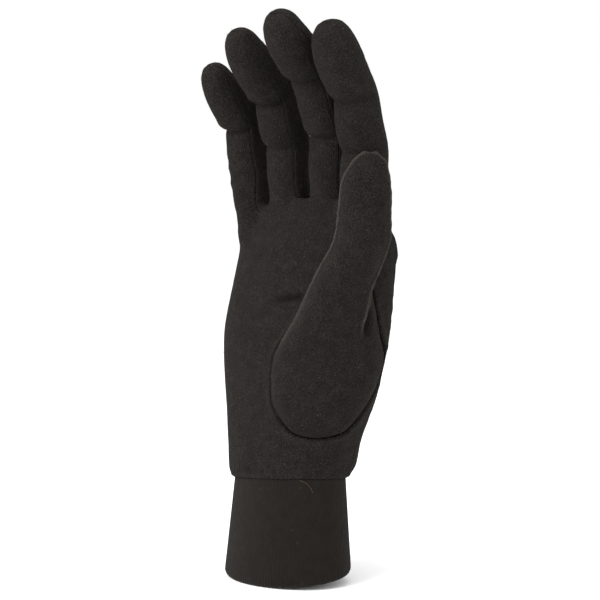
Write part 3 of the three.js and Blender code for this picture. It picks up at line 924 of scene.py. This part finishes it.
            # the pale band on the roll is partly rubbed wear and partly a painted highlight
            spread = self.wear_and_highlight_width * look.roll_width * (1 + highlight_widening * (seam is Seam.THUMB))
            pale = look.wear_and_highlight * (1 - 0.3 * np.minimum(highlight_widening, 1) * (seam is Seam.THUMB))
            wear_and_highlight += strength * pale * np.exp(-(((away - look.roll_at) / spread) ** 2))
            # where this line value is small the finish paints shade into the seam's valley
            line = np.minimum(line, away - look.line)
        cloth.points = points + out * rise[:, None]
        cloth.values["wear_and_highlight"] = wear_and_highlight
        cloth.values["line"] = np.clip(line, -3, 3)

    def finish(self, cloth: Cloth, name: str, grain: str, material: bpy.types.Material) -> bpy.types.Object:
        """Turns a panel into its piece, with its wall and its finish.

        Args:
            cloth: the panel.
            name: the name of the piece, and of the node that it stands for.
            grain: the value that holds the panel's grain.
            material: its finish.

        Returns:
            The piece.
        """
        cloth.values["grain"] = cloth.values[grain]
        made = cloth.piece(name + "_cloth")
        made.data.materials.append(material)
        thick = made.modifiers.new("wall", "SOLIDIFY")
        thick.thickness = self.wall * MM
        thick.offset = -1
        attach(made, BODY)
        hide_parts(name)
        log.info("%s: %d triangles", name, len(cloth.faces))
        return made

    def build(self, material: bpy.types.Material) -> dict[str, Cloth]:
        """Builds and dresses every jersey piece.

        Args:
            material: the jersey's finish.

        Returns:
            The cut panels by name.
        """
        form, gap = self.form, self.edge_gap
        skin = joined([form.palm(), *(form.finger(finger) for finger in form.fingers)])
        self.measure(skin)
        self.soften(skin)
        self.measure(skin)
        thumb = form.thumb()
        out_of_hand = skin.outside(thumb.points, 12)
        out_of_thumb = thumb.outside(skin.points, 12)
        thumb.values["hand"], skin.values["thumb"] = out_of_hand, out_of_thumb
        line = thumb.cut(out_of_hand, Seam.OVAL).rim(Seam.OVAL)
        for cloth, beyond in ((thumb, out_of_hand), (skin, out_of_thumb)):
            cloth.values["oval"] = cloth.apart(line, self.seam_reach) * np.sign(beyond)
        skin.values["foot"] = self.foot(skin)
        self.wear(skin)
        skin.values["out"] = skin.normals()
        rise = 0.18 * unevenness(thumb.points * (1, 1, 0.6), 12, 2.0)
        # painted shade in the valleys of the thumb's folds
        painted_shade = np.zeros(len(thumb.points))
        for fold in self.thumb_folds:
            lift = fold.rise(thumb.points)
            rise += lift
            painted_shade += np.maximum(-lift, 0)
        thumb.values["painted_shade"] = np.clip(painted_shade * 0.4, 0, 1)
        thumb.points += thumb.normals() * rise[:, None]
        thumb.values["out"] = thumb.normals()
        hand = skin.cut(skin.values["foot"] + 0.4, Seam.CUFF)
        hand = hand.cut(hand.values["thumb"] + self.underlap, Seam.OVAL).largest()
        panels = {}
        names = ("fourchette_index_middle", "fourchette_middle_ring", "fourchette_ring_little")
        for i, name in enumerate(names):
            panels[name] = hand.cut(hand.values[f"strip_{i}"] - gap, Seam.STRIP).largest()
        for i in range(3):
            hand = hand.cut(-hand.values[f"strip_{i}"] - gap, Seam.STRIP)
        panels["palm_panel"] = hand.cut(-hand.values["side"] - gap, Seam.SIDE).largest()
        panels["back_panel"] = hand.cut(hand.values["side"] - gap, Seam.SIDE).largest()
        thumb = thumb.cut(thumb.values["hand"] + self.underlap, Seam.OVAL).largest()
        panels["thumb_front"] = thumb.cut(thumb.values["front"] - gap, Seam.THUMB).largest()
        panels["thumb_back"] = thumb.cut(-thumb.values["front"] - gap, Seam.THUMB).largest()
        for name, cloth in panels.items():
            seams = [seam for seam in Seam if (cloth.values["seam"] == seam.value).any()]
            self.sew(cloth, {seam: cloth.rim(seam) for seam in seams})
            self.finish(cloth, name, "back_grain" if "back" in name else "palm_grain", material)
        return panels


@dataclass(frozen=True)
class BrushedJersey:
    """Cotton jersey brushed on its face: a matt charcoal cloth with fine upright wales and a short fuzz."""

    name: str = "brushed cotton jersey"
    colour: str = "131110"
    worn: str = "2b2826"
    # deep is the near-black colour of the painted shade in creases, folds and seam valleys; seam is the pale colour
    # of the seam rolls, partly rubbed wear and partly a painted highlight
    deep: str = "030303"
    seam: str = "46413c"
    wale: float = 1.05
    course: float = 0.8
    wale_bump: float = 0.00005

    def material(self) -> bpy.types.Material:
        """Makes the finish.

        Returns:
            The material.
        """
        made = bpy.data.materials.new(self.name)
        made.use_nodes = True
        tree = made.node_tree
        shader = tree.nodes["Principled BSDF"]
        # cotton scatters light with no gloss, and its fuzz catches light at grazing angles
        shader.inputs["Roughness"].default_value = 0.95
        shader.inputs["Specular IOR Level"].default_value = 0.05
        shader.inputs["Sheen Weight"].default_value = 0.04
        shader.inputs["Sheen Roughness"].default_value = 0.6
        shader.inputs["Sheen Tint"].default_value = linear("9a948c")
        place = add_node(tree, "ShaderNodeTexCoord").outputs["Object"]
        blotch = add_node(tree, "ShaderNodeTexNoise", {"Vector": place, "Scale": 190.0, "Detail": 4.0})
        fuzz = add_node(tree, "ShaderNodeTexNoise", {"Vector": place, "Scale": 1700.0, "Detail": 2.0})
        grain = add_node(tree, "ShaderNodeUVMap", uv_map="grain").outputs["UV"]
        split = add_node(tree, "ShaderNodeSeparateXYZ", {0: grain})
        # wales run up the cloth 1.05 mm apart, a little coarser than the real 0.7 mm so that they show
        phase = add_node(tree, "ShaderNodeMath", {0: split.outputs[0], 1: 2 * math.pi / (self.wale * MM)},
                         operation="MULTIPLY")
        wales = add_node(tree, "ShaderNodeMath", {0: phase.outputs[0]}, operation="COSINE")
        slant = add_node(tree, "ShaderNodeMath", {0: wales.outputs[0], 1: 1.4}, operation="MULTIPLY")
        rows = add_node(tree, "ShaderNodeMath", {0: split.outputs[1], 1: 2 * math.pi / (self.course * MM),
                                                 2: slant.outputs[0]}, operation="MULTIPLY_ADD")
        loops = add_node(tree, "ShaderNodeMath", {0: rows.outputs[0]}, operation="SINE")
        knit = add_node(tree, "ShaderNodeMath", {0: loops.outputs[0], 1: 0.35, 2: wales.outputs[0]},
                        operation="MULTIPLY_ADD")
        wear_and_highlight = add_node(tree, "ShaderNodeAttribute", attribute_name="wear_and_highlight").outputs["Fac"]
        tone = add_node(tree, "ShaderNodeMapRange", {
            "Value": blotch.outputs["Fac"], "From Min": 0.3, "From Max": 0.7, "To Min": 0.0, "To Max": 0.26,
        })
        speck = add_node(tree, "ShaderNodeMapRange", {"Value": fuzz.outputs["Fac"], "From Min": 0.35,
                                                      "From Max": 0.75, "To Min": -0.3, "To Max": 0.75})
        weave = add_node(tree, "ShaderNodeMath", {0: knit.outputs[0], 1: 0.02, 2: tone.outputs[0]},
                         operation="MULTIPLY_ADD")
        mixed = add_node(tree, "ShaderNodeMath", {0: weave.outputs[0], 1: speck.outputs[0]}, operation="ADD")
        # the raised edges of the seams are paler, partly rubbed and partly a painted highlight, unevenly as the
        # fuzz is
        worn = add_node(tree, "ShaderNodeMath", {0: speck.outputs[0], 1: 0.5, 2: 0.75}, operation="MULTIPLY_ADD")
        edge = add_node(tree, "ShaderNodeMath", {0: wear_and_highlight, 1: worn.outputs[0]}, operation="MULTIPLY", use_clamp=True)
        ramp = add_node(tree, "ShaderNodeValToRGB", {0: mixed.outputs[0]})
        ramp.color_ramp.elements[0].position = 0.0
        ramp.color_ramp.elements[0].color = linear(self.colour)
        ramp.color_ramp.elements[1].color = linear(self.worn)
        # painted shade: along the seams' valleys the colour goes nearly black, as deep
        line = add_node(tree, "ShaderNodeAttribute", attribute_name="line").outputs["Fac"]
        low = add_node(tree, "ShaderNodeMapRange", {"Value": line, "From Min": -0.15, "From Max": 0.25})
        # painted shade in the finger creases and fold valleys, mixed towards deep
        painted_shade = add_node(tree, "ShaderNodeAttribute", attribute_name="painted_shade").outputs["Fac"]
        dip = add_node(tree, "ShaderNodeMath", {0: painted_shade, 1: 0.5}, operation="MULTIPLY")
        shade = add_node(tree, "ShaderNodeMix", {0: dip.outputs[0], 6: ramp.outputs[0], 7: linear(self.deep)},
                         data_type="RGBA")
        pale = add_node(tree, "ShaderNodeMix", {0: edge.outputs[0], 6: shade.outputs[2], 7: linear(self.seam)},
                        data_type="RGBA")
        colour = add_node(tree, "ShaderNodeMix", {0: low.outputs[0], 6: linear(self.deep), 7: pale.outputs[2]},
                          data_type="RGBA")
        tree.links.new(colour.outputs[2], shader.inputs["Base Color"])
        bump = add_node(tree, "ShaderNodeBump", {"Height": knit.outputs[0], "Distance": self.wale_bump,
                                                 "Strength": 0.8})
        soft = add_node(tree, "ShaderNodeBump", {"Height": fuzz.outputs["Fac"], "Distance": 0.0008,
                                                 "Strength": 0.75, "Normal": bump.outputs[0]})
        tree.links.new(soft.outputs[0], shader.inputs["Normal"])
        return made


@dataclass(frozen=True)
class RibKnit:
    """Rib knit with elastic: a dark brownish cloth with fine upright ribs and a few brown flecks."""

    name: str = "cotton rib knit"
    colour: str = "110e0c"
    light: str = "1b1713"
    fleck: str = "27201a"

    def material(self) -> bpy.types.Material:
        """Makes the finish.

        Returns:
            The material.
        """
        made = bpy.data.materials.new(self.name)
        made.use_nodes = True
        tree = made.node_tree
        shader = tree.nodes["Principled BSDF"]
        # the tighter cloth is less fuzzy than the jersey and as matt
        shader.inputs["Roughness"].default_value = 0.9
        shader.inputs["Specular IOR Level"].default_value = 0.05
        shader.inputs["Sheen Weight"].default_value = 0.04
        shader.inputs["Sheen Roughness"].default_value = 0.6
        place = add_node(tree, "ShaderNodeTexCoord").outputs["Object"]
        blotch = add_node(tree, "ShaderNodeTexNoise", {"Vector": place, "Scale": 230.0, "Detail": 4.0})
        # flecks of bare elastic, about a third of a millimetre across
        flecks = add_node(tree, "ShaderNodeTexVoronoi", {"Vector": place, "Scale": 420.0})
        chosen = add_node(tree, "ShaderNodeSeparateColor", {0: flecks.outputs["Color"]})
        few = add_node(tree, "ShaderNodeMath", {0: chosen.outputs[0], 1: 0.95}, operation="GREATER_THAN")
        small = add_node(tree, "ShaderNodeMath", {0: flecks.outputs["Distance"], 1: 0.28}, operation="LESS_THAN")
        both = add_node(tree, "ShaderNodeMath", {0: few.outputs[0], 1: small.outputs[0]}, operation="MULTIPLY")
        weak = add_node(tree, "ShaderNodeMath", {0: both.outputs[0], 1: 0.55}, operation="MULTIPLY")
        tone = add_node(tree, "ShaderNodeMapRange", {"Value": blotch.outputs["Fac"], "From Min": 0.1,
                                                     "From Max": 1.0})
        base = add_node(tree, "ShaderNodeMix", {0: tone.outputs[0], 6: linear(self.colour), 7: linear(self.light)},
                        data_type="RGBA")
        colour = add_node(tree, "ShaderNodeMix", {0: weak.outputs[0], 6: base.outputs[2], 7: linear(self.fleck)},
                          data_type="RGBA")
        tree.links.new(colour.outputs[2], shader.inputs["Base Color"])
        fuzz = add_node(tree, "ShaderNodeTexNoise", {"Vector": place, "Scale": 1300.0, "Detail": 3.0})
        bump = add_node(tree, "ShaderNodeBump", {"Height": fuzz.outputs["Fac"], "Distance": 0.0006,
                                                 "Strength": 0.6})
        tree.links.new(bump.outputs[0], shader.inputs["Normal"])
        return made


@dataclass(frozen=True)
class PlainThread:
    """A bare fibre or thread of one colour."""

    name: str
    colour: str
    roughness: float = 0.8

    def material(self) -> bpy.types.Material:
        """Makes the finish.

        Returns:
            The material.
        """
        made = bpy.data.materials.new(self.name)
        made.use_nodes = True
        shader = made.node_tree.nodes["Principled BSDF"]
        place = add_node(made.node_tree, "ShaderNodeTexCoord").outputs["Object"]
        twist = add_node(made.node_tree, "ShaderNodeTexNoise", {"Vector": place, "Scale": 2500.0})
        dark = tuple(0.6 * c for c in linear(self.colour)[:3]) + (1.0,)
        colour = add_node(made.node_tree, "ShaderNodeMix",
                          {0: twist.outputs["Fac"], 6: dark, 7: linear(self.colour)}, data_type="RGBA")
        made.node_tree.links.new(colour.outputs[2], shader.inputs["Base Color"])
        shader.inputs["Roughness"].default_value = self.roughness
        shader.inputs["Specular IOR Level"].default_value = 0.2
        return made


def grown(tree: bpy.types.NodeTree, base: bpy.types.Mesh, name: str, inputs: dict) -> bpy.types.Object:
    """Runs a geometry tree on a mesh and keeps the result as a plain mesh.

    Args:
        tree: the geometry tree.
        base: the mesh that it starts from.
        name: the new object's name.
        inputs: values for the tree's named inputs.

    Returns:
        An object with no modifier.
    """
    seed = bpy.data.objects.new(name + "_base", base)
    bpy.context.scene.collection.objects.link(seed)
    modifier = seed.modifiers.new("nodes", "NODES")
    modifier.node_group = tree
    for item in tree.interface.items_tree:
        if item.in_out == "INPUT" and item.name in inputs:
            modifier[item.identifier] = inputs[item.name]
    bpy.context.view_layer.update()
    mesh = bpy.data.meshes.new_from_object(seed.evaluated_get(bpy.context.evaluated_depsgraph_get()))
    mesh.name = name
    bpy.data.objects.remove(seed)
    made = bpy.data.objects.new(name, mesh)
    bpy.context.scene.collection.objects.link(made)
    return made


def new_tree(
    name: str, inputs: dict[str, tuple[str, float | int | tuple]],
) -> tuple[bpy.types.NodeTree, bpy.types.Node, bpy.types.Node]:
    """Starts a geometry tree with named inputs.

    Args:
        name: the tree's name.
        inputs: the kind and value of each input's socket.

    Returns:
        The tree, its group input node and its group output node.
    """
    tree = bpy.data.node_groups.new(name, "GeometryNodeTree")
    tree.interface.new_socket("Geometry", in_out="INPUT", socket_type="NodeSocketGeometry")
    tree.interface.new_socket("Geometry", in_out="OUTPUT", socket_type="NodeSocketGeometry")
    for label, (kind, value) in inputs.items():
        tree.interface.new_socket(label, in_out="INPUT", socket_type=kind).default_value = value
    return tree, tree.nodes.new("NodeGroupInput"), tree.nodes.new("NodeGroupOutput")


@dataclass
class RibCuff:
    """The rib-knit cuff: a tube of upright ribs that widens down the forearm."""

    form: HandForm = field(default_factory=HandForm)
    ribs: int = 150
    rib_points: int = 6
    rows: int = 40
    rib_depth: float = 0.15
    flat_round: float = 155.0
    wall: float = 1.7
    seam_gap: float = 0.3

    def tree(self, material: bpy.types.Material) -> bpy.types.NodeTree:
        """Builds the tree that bends a grid into the ribbed tube.

        Args:
            material: the finish that it sets.

        Returns:
            The geometry tree.
        """
        sizes = ("Mouth Width", "Mouth Depth", "Seam Width", "Seam Depth", "Height", "Rib Depth", "Seam Side",
                 "Wall")
        tree, given, result = new_tree("rib_tube", {
            "Ribs": ("NodeSocketInt", 100), "Points": ("NodeSocketInt", 6), "Rows": ("NodeSocketInt", 20),
            **{size: ("NodeSocketFloat", 0.05) for size in sizes},
            "Mouth Lean": ("NodeSocketVector", (0, 0, 0)), "Seam Lean": ("NodeSocketVector", (0, 0, 0)),
        })

        place = add_node(tree, "ShaderNodeSeparateXYZ", {0: tree.nodes.new("GeometryNodeInputPosition").outputs[0]})
        values = {size: given.outputs[size] for size in ("Ribs", "Points", "Rows", *sizes)}
        values |= {"u": place.outputs[0], "v": place.outputs[1]}

        def work_out(sums: tuple) -> None:
            """Adds the nodes of some sums, each a name, an operation and its terms."""
            for name, operation, *terms in sums:
                inputs = {i: values.get(term, term) for i, term in enumerate(terms)}
                values[name] = add_node(tree, "ShaderNodeMath", inputs, operation=operation).outputs[0]

        work_out((
            ("columns", "MULTIPLY_ADD", "Ribs", "Points", 1.0),
            ("share", "ADD", "u", 0.5), ("turn", "MULTIPLY", "share", 2 * math.pi),
            # the rows run up the outside from the mouth, over the seam's edge, and back down the inside
            ("all rows", "ADD", "Rows", 3.0), ("last", "SUBTRACT", "all rows", 1.0),
            ("height", "ADD", "v", 0.5), ("row", "MULTIPLY", "height", "last"),
            ("past mouth", "SUBTRACT", "row", 1.0), ("steps", "SUBTRACT", "Rows", 1.0),
            ("up", "DIVIDE", "past mouth", "steps"), ("down", "SUBTRACT", "last", "row"),
            ("least", "MINIMUM", "up", "down"), ("capped", "MINIMUM", "least", 1.0),
            ("level", "MAXIMUM", "capped", 0.0), ("fall", "SUBTRACT", 1.0, "level"),
            ("before", "SUBTRACT", 1.0, "row"), ("after", "SUBTRACT", "row", "Rows"),
            ("more", "MAXIMUM", "before", "after"), ("over", "MINIMUM", "more", 1.0),
            ("inside", "MAXIMUM", "over", 0.0), ("outside", "SUBTRACT", 1.0, "inside"),
            ("cos", "COSINE", "turn"), ("sin", "SINE", "turn"),
            # the ribs: rounded crowns with narrow valleys, drawn in at the turned hem
            ("phase", "MULTIPLY", "turn", "Ribs"), ("wave", "COSINE", "phase"),
            ("raised", "MULTIPLY_ADD", "wave", 0.5, 0.5), ("crown", "POWER", "raised", 0.7),
            ("sunk", "SUBTRACT", "crown", 1.0), ("rib", "MULTIPLY", "sunk", "Rib Depth"),
            ("run", "MULTIPLY", "level", 28.0), ("near", "MINIMUM", "run", 1.0),
            ("left", "SUBTRACT", 1.0, "near"), ("hem", "POWER", "left", 2.0),
            ("face", "MULTIPLY_ADD", "hem", -0.0006, "rib"), ("outer", "MULTIPLY", "face", "outside"),
            ("depth", "MULTIPLY", "Wall", "inside"), ("drawn", "SUBTRACT", "outer", "depth"),
            # the oval at this level
            ("more wide", "SUBTRACT", "Seam Width", "Mouth Width"),
            ("wide", "MULTIPLY_ADD", "more wide", "level", "Mouth Width"),
            ("more deep", "SUBTRACT", "Seam Depth", "Mouth Depth"),
            ("deep", "MULTIPLY_ADD", "more deep", "level", "Mouth Depth"),
            ("reach x", "MULTIPLY_ADD", "wide", 0.5, "drawn"), ("reach y", "MULTIPLY_ADD", "deep", 0.5, "drawn"),
            ("shift", "MULTIPLY", "level", "Seam Side"),
            ("x", "MULTIPLY_ADD", "reach x", "cos", "shift"), ("y", "MULTIPLY", "reach y", "sin"),
        ))
        flat = add_node(tree, "ShaderNodeCombineXYZ", {0: values["x"], 1: values["y"]}).outputs[0]
        for lean in ("Mouth Lean", "Seam Lean"):
            dot = add_node(tree, "ShaderNodeVectorMath", {0: flat, 1: given.outputs[lean]}, operation="DOT_PRODUCT")
            values[lean] = dot.outputs["Value"]
        work_out((
            ("mouth", "MULTIPLY", "Mouth Lean", "fall"), ("seam", "MULTIPLY_ADD", "Seam Lean", "level", "mouth"),
            ("z", "MULTIPLY_ADD", "level", "Height", "seam"),
        ))
        grid = add_node(tree, "GeometryNodeMeshGrid", {
            "Size X": 1.0, "Size Y": 1.0, "Vertices X": values["columns"], "Vertices Y": values["all rows"],
        })
        at = add_node(tree, "ShaderNodeCombineXYZ", {i: values[axis] for i, axis in enumerate("xyz")}).outputs[0]
        bent = add_node(tree, "GeometryNodeSetPosition", {"Geometry": grid.outputs["Mesh"], "Position": at})
        closed = add_node(tree, "GeometryNodeMergeByDistance", {
            "Geometry": bent.outputs[0], "Distance": 1e-6,
        })
        smooth = add_node(tree, "GeometryNodeSetShadeSmooth", {"Geometry": closed.outputs[0]})
        real = add_node(tree, "GeometryNodeRealizeInstances", {"Geometry": smooth.outputs[0]})
        done = add_node(tree, "GeometryNodeSetMaterial", {"Geometry": real.outputs[0], "Material": material})
        tree.links.new(done.outputs[0], result.inputs[0])
        return tree

    def build(self, material: bpy.types.Material) -> bpy.types.Object:
        """Builds the cuff and gives it its wall.

        Args:
            material: the rib knit's finish.

        Returns:
            The piece.
        """
        form = self.form
        lean = [math.tan(math.radians(tilt)) * facing(turn) for tilt, turn in
                ((form.mouth_tilt, form.mouth_turn), (form.seam_tilt, form.seam_turn))]
        made = grown(self.tree(material), bpy.data.meshes.new("cuff_base"), "cuff_cloth", {
            "Ribs": self.ribs, "Points": self.rib_points, "Rows": self.rows,
            "Mouth Width": form.mouth_width * MM, "Mouth Depth": form.mouth_depth * MM,
            "Seam Width": form.cuff_width * MM, "Seam Depth": form.cuff_depth * MM,
            "Height": (form.cuff_height - self.seam_gap) * MM, "Rib Depth": self.rib_depth * MM,
            "Mouth Lean": lean[0], "Seam Lean": lean[1], "Seam Side": form.seam_side * MM,
            "Wall": self.wall * MM,
        })
        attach(made, BODY)
        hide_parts("cuff")
        log.info("cuff: %d faces", len(made.data.polygons))
        return made


@dataclass(frozen=True)
class Strewn:
    """Small fibres strewn over the cloth: how many, how they look, and how they lie.

    count is for the whole glove, length and thick are millimetres, curl is in degrees along a fibre, lift
    is how steeply it stands from the cloth in degrees.
    """

    name: str
    count: int
    length: float
    thick: float
    curl: float
    lift: tuple[float, float]
    finish: PlainThread
    seed: int
    steps: int = 3

    def tree(self, material: bpy.types.Material) -> bpy.types.NodeTree:
        """Builds the tree that strews the fibres over a mesh.

        Args:
            material: the finish that it sets.

        Returns:
            The geometry tree.
        """
        tree, given, result = new_tree(self.name, {
            "Density": ("NodeSocketFloat", 1000.0), "Length": ("NodeSocketFloat", 0.001),
            "Thick": ("NodeSocketFloat", 0.0001), "Curl": ("NodeSocketFloat", 1.0),
            "Least Lift": ("NodeSocketFloat", 0.0), "Most Lift": ("NodeSocketFloat", 0.5),
            "Seed": ("NodeSocketInt", 1),
        })
        points = add_node(tree, "GeometryNodeDistributePointsOnFaces", {
            "Mesh": given.outputs["Geometry"], "Density": given.outputs["Density"],
            "Seed": given.outputs["Seed"],
        })
        # one fibre: an arc that leaves the origin along Z
        arc = add_node(tree, "GeometryNodeCurveArc", {
            "Resolution": self.steps + 1, "Start Angle": 0.0, "Sweep Angle": given.outputs["Curl"],
        }, mode="RADIUS")
        radius = add_node(tree, "ShaderNodeMath", {0: given.outputs["Length"], 1: given.outputs["Curl"]},
                          operation="DIVIDE")
        tree.links.new(radius.outputs[0], arc.inputs["Radius"])
        back = add_node(tree, "ShaderNodeMath", {0: radius.outputs[0], 1: -1.0}, operation="MULTIPLY")
        shift = add_node(tree, "ShaderNodeCombineXYZ", {0: back.outputs[0]})
        moved = add_node(tree, "GeometryNodeTransform", {
            "Geometry": arc.outputs[0], "Translation": shift.outputs[0],
        })
        stood = add_node(tree, "GeometryNodeTransform", {
            "Geometry": moved.outputs[0], "Rotation": (math.pi / 2, 0.0, 0.0),
        })
        ring = add_node(tree, "GeometryNodeCurvePrimitiveCircle", {
            "Resolution": 3, "Radius": given.outputs["Thick"],
        })
        fibre = add_node(tree, "GeometryNodeCurveToMesh", {
            "Curve": stood.outputs[0], "Profile Curve": ring.outputs[0], "Fill Caps": True,
        })
        turn = add_node(tree, "FunctionNodeRandomValue", {"Min": (0, 0, 0), "Max": (0, 0, 2 * math.pi)},
                        data_type="FLOAT_VECTOR")
        lean = add_node(tree, "FunctionNodeRandomValue", {
            2: given.outputs["Least Lift"], 3: given.outputs["Most Lift"], "Seed": 5,
        })
        tilt = add_node(tree, "ShaderNodeCombineXYZ", {0: lean.outputs[1]})
        spun = add_node(tree, "FunctionNodeRotateRotation", {
            "Rotation": points.outputs["Rotation"], "Rotate By": turn.outputs[0],
        }, rotation_space="LOCAL")
        leaned = add_node(tree, "FunctionNodeRotateRotation", {
            "Rotation": spun.outputs[0], "Rotate By": tilt.outputs[0],
        }, rotation_space="LOCAL")
        size = add_node(tree, "FunctionNodeRandomValue", {2: 0.6, 3: 1.3, "Seed": 9})
        placed = add_node(tree, "GeometryNodeInstanceOnPoints", {
            "Points": points.outputs["Points"], "Instance": fibre.outputs[0], "Rotation": leaned.outputs[0],
            "Scale": size.outputs[1],
        })
        real = add_node(tree, "GeometryNodeRealizeInstances", {"Geometry": placed.outputs[0]})
        done = add_node(tree, "GeometryNodeSetMaterial", {"Geometry": real.outputs[0], "Material": material})
        tree.links.new(done.outputs[0], result.inputs[0])
        return tree

    def dress(self, base: Cloth) -> bpy.types.Object:
        """Strews the fibres over a cloth.

        Args:
            base: the cloth that carries them.

        Returns:
            The piece.
        """
        mesh = base.piece(self.name + "_ground")
        area = sum(face.area for face in mesh.data.polygons)
        ground = mesh.data
        bpy.data.objects.remove(mesh)
        least, most = (math.radians(90 - lift) for lift in self.lift)
        made = grown(self.tree(self.finish.material()), ground, self.name, {
            "Density": self.count / area, "Length": self.length * MM, "Thick": self.thick * MM / 2,
            "Curl": math.radians(self.curl), "Least Lift": least, "Most Lift": most, "Seed": self.seed,
        })
        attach(made, BODY)
        log.info("%s: %d faces", self.name, len(made.data.polygons))
        return made


LOOSE_FIBRES = (
    Strewn("face_fuzz", 5200, 0.9, 0.05, 70, (15, 70), PlainThread("cotton fuzz", "211e1c"), 3),
    Strewn("lint_curls", 170, 1.5, 0.09, 200, (4, 30), PlainThread("pale cotton lint", "5c5751"), 8, 5),
    Strewn("lint_specks", 420, 0.35, 0.22, 20, (2, 40), PlainThread("pale cotton specks", "544f4a"), 21, 2),
)


@dataclass(frozen=True)
class LooseThread:
    """The end of a sewing thread that curls out of the cuff's seam, on the palm side."""

    points: tuple[tuple[float, float, float], ...] = (
        (20.6, -14.9, 46.2), (22.9, -14.6, 45.8), (24.4, -13.6, 44.9), (25.3, -12.7, 43.4),
        (26.0, -12.1, 41.9),
        (26.2, -11.9, 40.9),
    )
    thick: float = 0.25
    finish: PlainThread = PlainThread("tan polyester thread", "483a24", 0.6)

    def build(self) -> bpy.types.Object:
        """Builds the thread as a round tube that runs smoothly through its points.

        Returns:
            The piece.
        """
        curve = bpy.data.curves.new("thread_path", "CURVE")
        curve.dimensions = "3D"
        path = curve.splines.new("NURBS")
        path.points.add(len(self.points) - 1)
        for knot, point in zip(path.points, self.points):
            knot.co = (*(value * MM for value in point), 1)
        path.use_endpoint_u, path.order_u, path.resolution_u = True, 4, 6
        curve.bevel_depth, curve.bevel_resolution, curve.use_fill_caps = self.thick * MM / 2, 2, True
        drawn = bpy.data.objects.new("thread_path", curve)
        bpy.context.scene.collection.objects.link(drawn)
        bpy.context.view_layer.update()
        mesh = bpy.data.meshes.new_from_object(drawn.evaluated_get(bpy.context.evaluated_depsgraph_get()))
        bpy.data.objects.remove(drawn)
        mesh.materials.clear()
        mesh.materials.append(self.finish.material())
        mesh.shade_smooth()
        made = bpy.data.objects.new("loose_thread", mesh)
        bpy.context.scene.collection.objects.link(made)
        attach(made, BODY)
        log.info("loose thread: %d faces", len(mesh.polygons))
        return made


@dataclass
class Studio:
    """The pale floor, the white surround and the soft lights."""

    floor_level: float
    centre: tuple[float, float, float] = (0.0, 0.0, 0.125)
    surround: float = 1.0

    def light(
        self, name: str, azimuth: float, elevation: float, distance: float, size: float, power: float,
    ) -> None:
        """Adds one soft light that faces the glove.

        Args:
            name: the light's name.
            azimuth: its side in degrees, counted as the camera's is.
            elevation: its height in degrees.
            distance: how far off it is, in metres.
            size: its width in metres.
            power: its power in watts.
        """
        turn, rise = math.radians(azimuth), math.radians(elevation)
        away = Vector((math.sin(turn) * math.cos(rise), -math.cos(turn) * math.cos(rise), math.sin(rise)))
        lamp = bpy.data.lights.new(name, "AREA")
        lamp.size, lamp.energy = size, power
        made = bpy.data.objects.new(name, lamp)
        made.location = Vector(self.centre) + away * distance
        made.rotation_euler = away.to_track_quat("Z", "Y").to_euler()
        bpy.context.scene.collection.objects.link(made)

    def build(self) -> None:
        """Makes the floor, the surround and the lights."""
        reach = 6.0
        mesh = bpy.data.meshes.new("floor")
        corners = ((-reach, -reach), (reach, -reach), (reach, reach), (-reach, reach))
        mesh.from_pydata([(x, y, self.floor_level) for x, y in corners], [], [(0, 1, 2, 3)])
        paper = bpy.data.materials.new("matt white paper")
        paper.use_nodes = True
        # plain uncoated paper: almost white and with no gloss
        shader = paper.node_tree.nodes["Principled BSDF"]
        shader.inputs["Base Color"].default_value = linear("ffffff")
        shader.inputs["Roughness"].default_value = 1.0
        shader.inputs["Specular IOR Level"].default_value = 0.0
        mesh.materials.append(paper)
        floor = bpy.data.objects.new("floor", mesh)
        bpy.context.scene.collection.objects.link(floor)
        floor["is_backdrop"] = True
        world = bpy.data.worlds.new("white surround")
        world.use_nodes = True
        tree = world.node_tree
        tree.nodes.clear()
        white = add_node(tree, "ShaderNodeBackground", {"Color": (1, 1, 1, 1), "Strength": self.surround})
        add_node(tree, "ShaderNodeOutputWorld", {"Surface": white.outputs[0]})
        bpy.context.scene.world = world
        bpy.context.scene.view_settings.view_transform = "Standard"
        self.light("key", -12, 32, 1.3, 0.9, 18)
        self.light("fill", 100, 15, 1.4, 0.9, 5)
        self.light("top", 42, 80, 1.2, 0.8, 5)


@dataclass
class PhotoCamera:
    """The camera: where it looks, from which side, how far off, and its lens."""

    target: tuple[float, float, float] = (4.3 * MM, 3.9 * MM, 124.8 * MM)
    azimuth: float = 42.0
    elevation: float = 6.0
    distance: float = 1.1
    lens: float = 145.2

    def build(self) -> bpy.types.Object:
        """Makes the camera and gives it to the scene.

        Returns:
            The camera object.
        """
        turn, rise = math.radians(self.azimuth), math.radians(self.elevation)
        away = Vector((math.sin(turn) * math.cos(rise), -math.cos(turn) * math.cos(rise), math.sin(rise)))
        camera = bpy.data.objects.new("camera", bpy.data.cameras.new("camera"))
        camera.data.lens = self.lens
        camera.data.sensor_width = 36.0
        camera.data.clip_start = 0.05
        camera.location = Vector(self.target) + away * self.distance
        camera.rotation_euler = away.to_track_quat("Z", "Y").to_euler()
        bpy.context.scene.collection.objects.link(camera)
        bpy.context.scene.camera = camera
        return camera


def main() -> None:
    """Builds the glove's pieces in order."""
    cad_box = [list(corner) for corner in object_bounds()]
    PhotoCamera().build()
    jersey, rib = BrushedJersey().material(), RibKnit().material()
    panels = JerseyHand().build(jersey)
    RibCuff().build(rib)
    whole = joined_ground(list(panels.values()))
    for fibres in LOOSE_FIBRES:
        fibres.dress(whole)
    LooseThread().build()
    Studio(floor_level=cad_box[0][2] - 0.3 * MM).build()


if __name__ == "__main__":
    logging.basicConfig(level=logging.INFO, format="%(name)s: %(message)s")
    main()
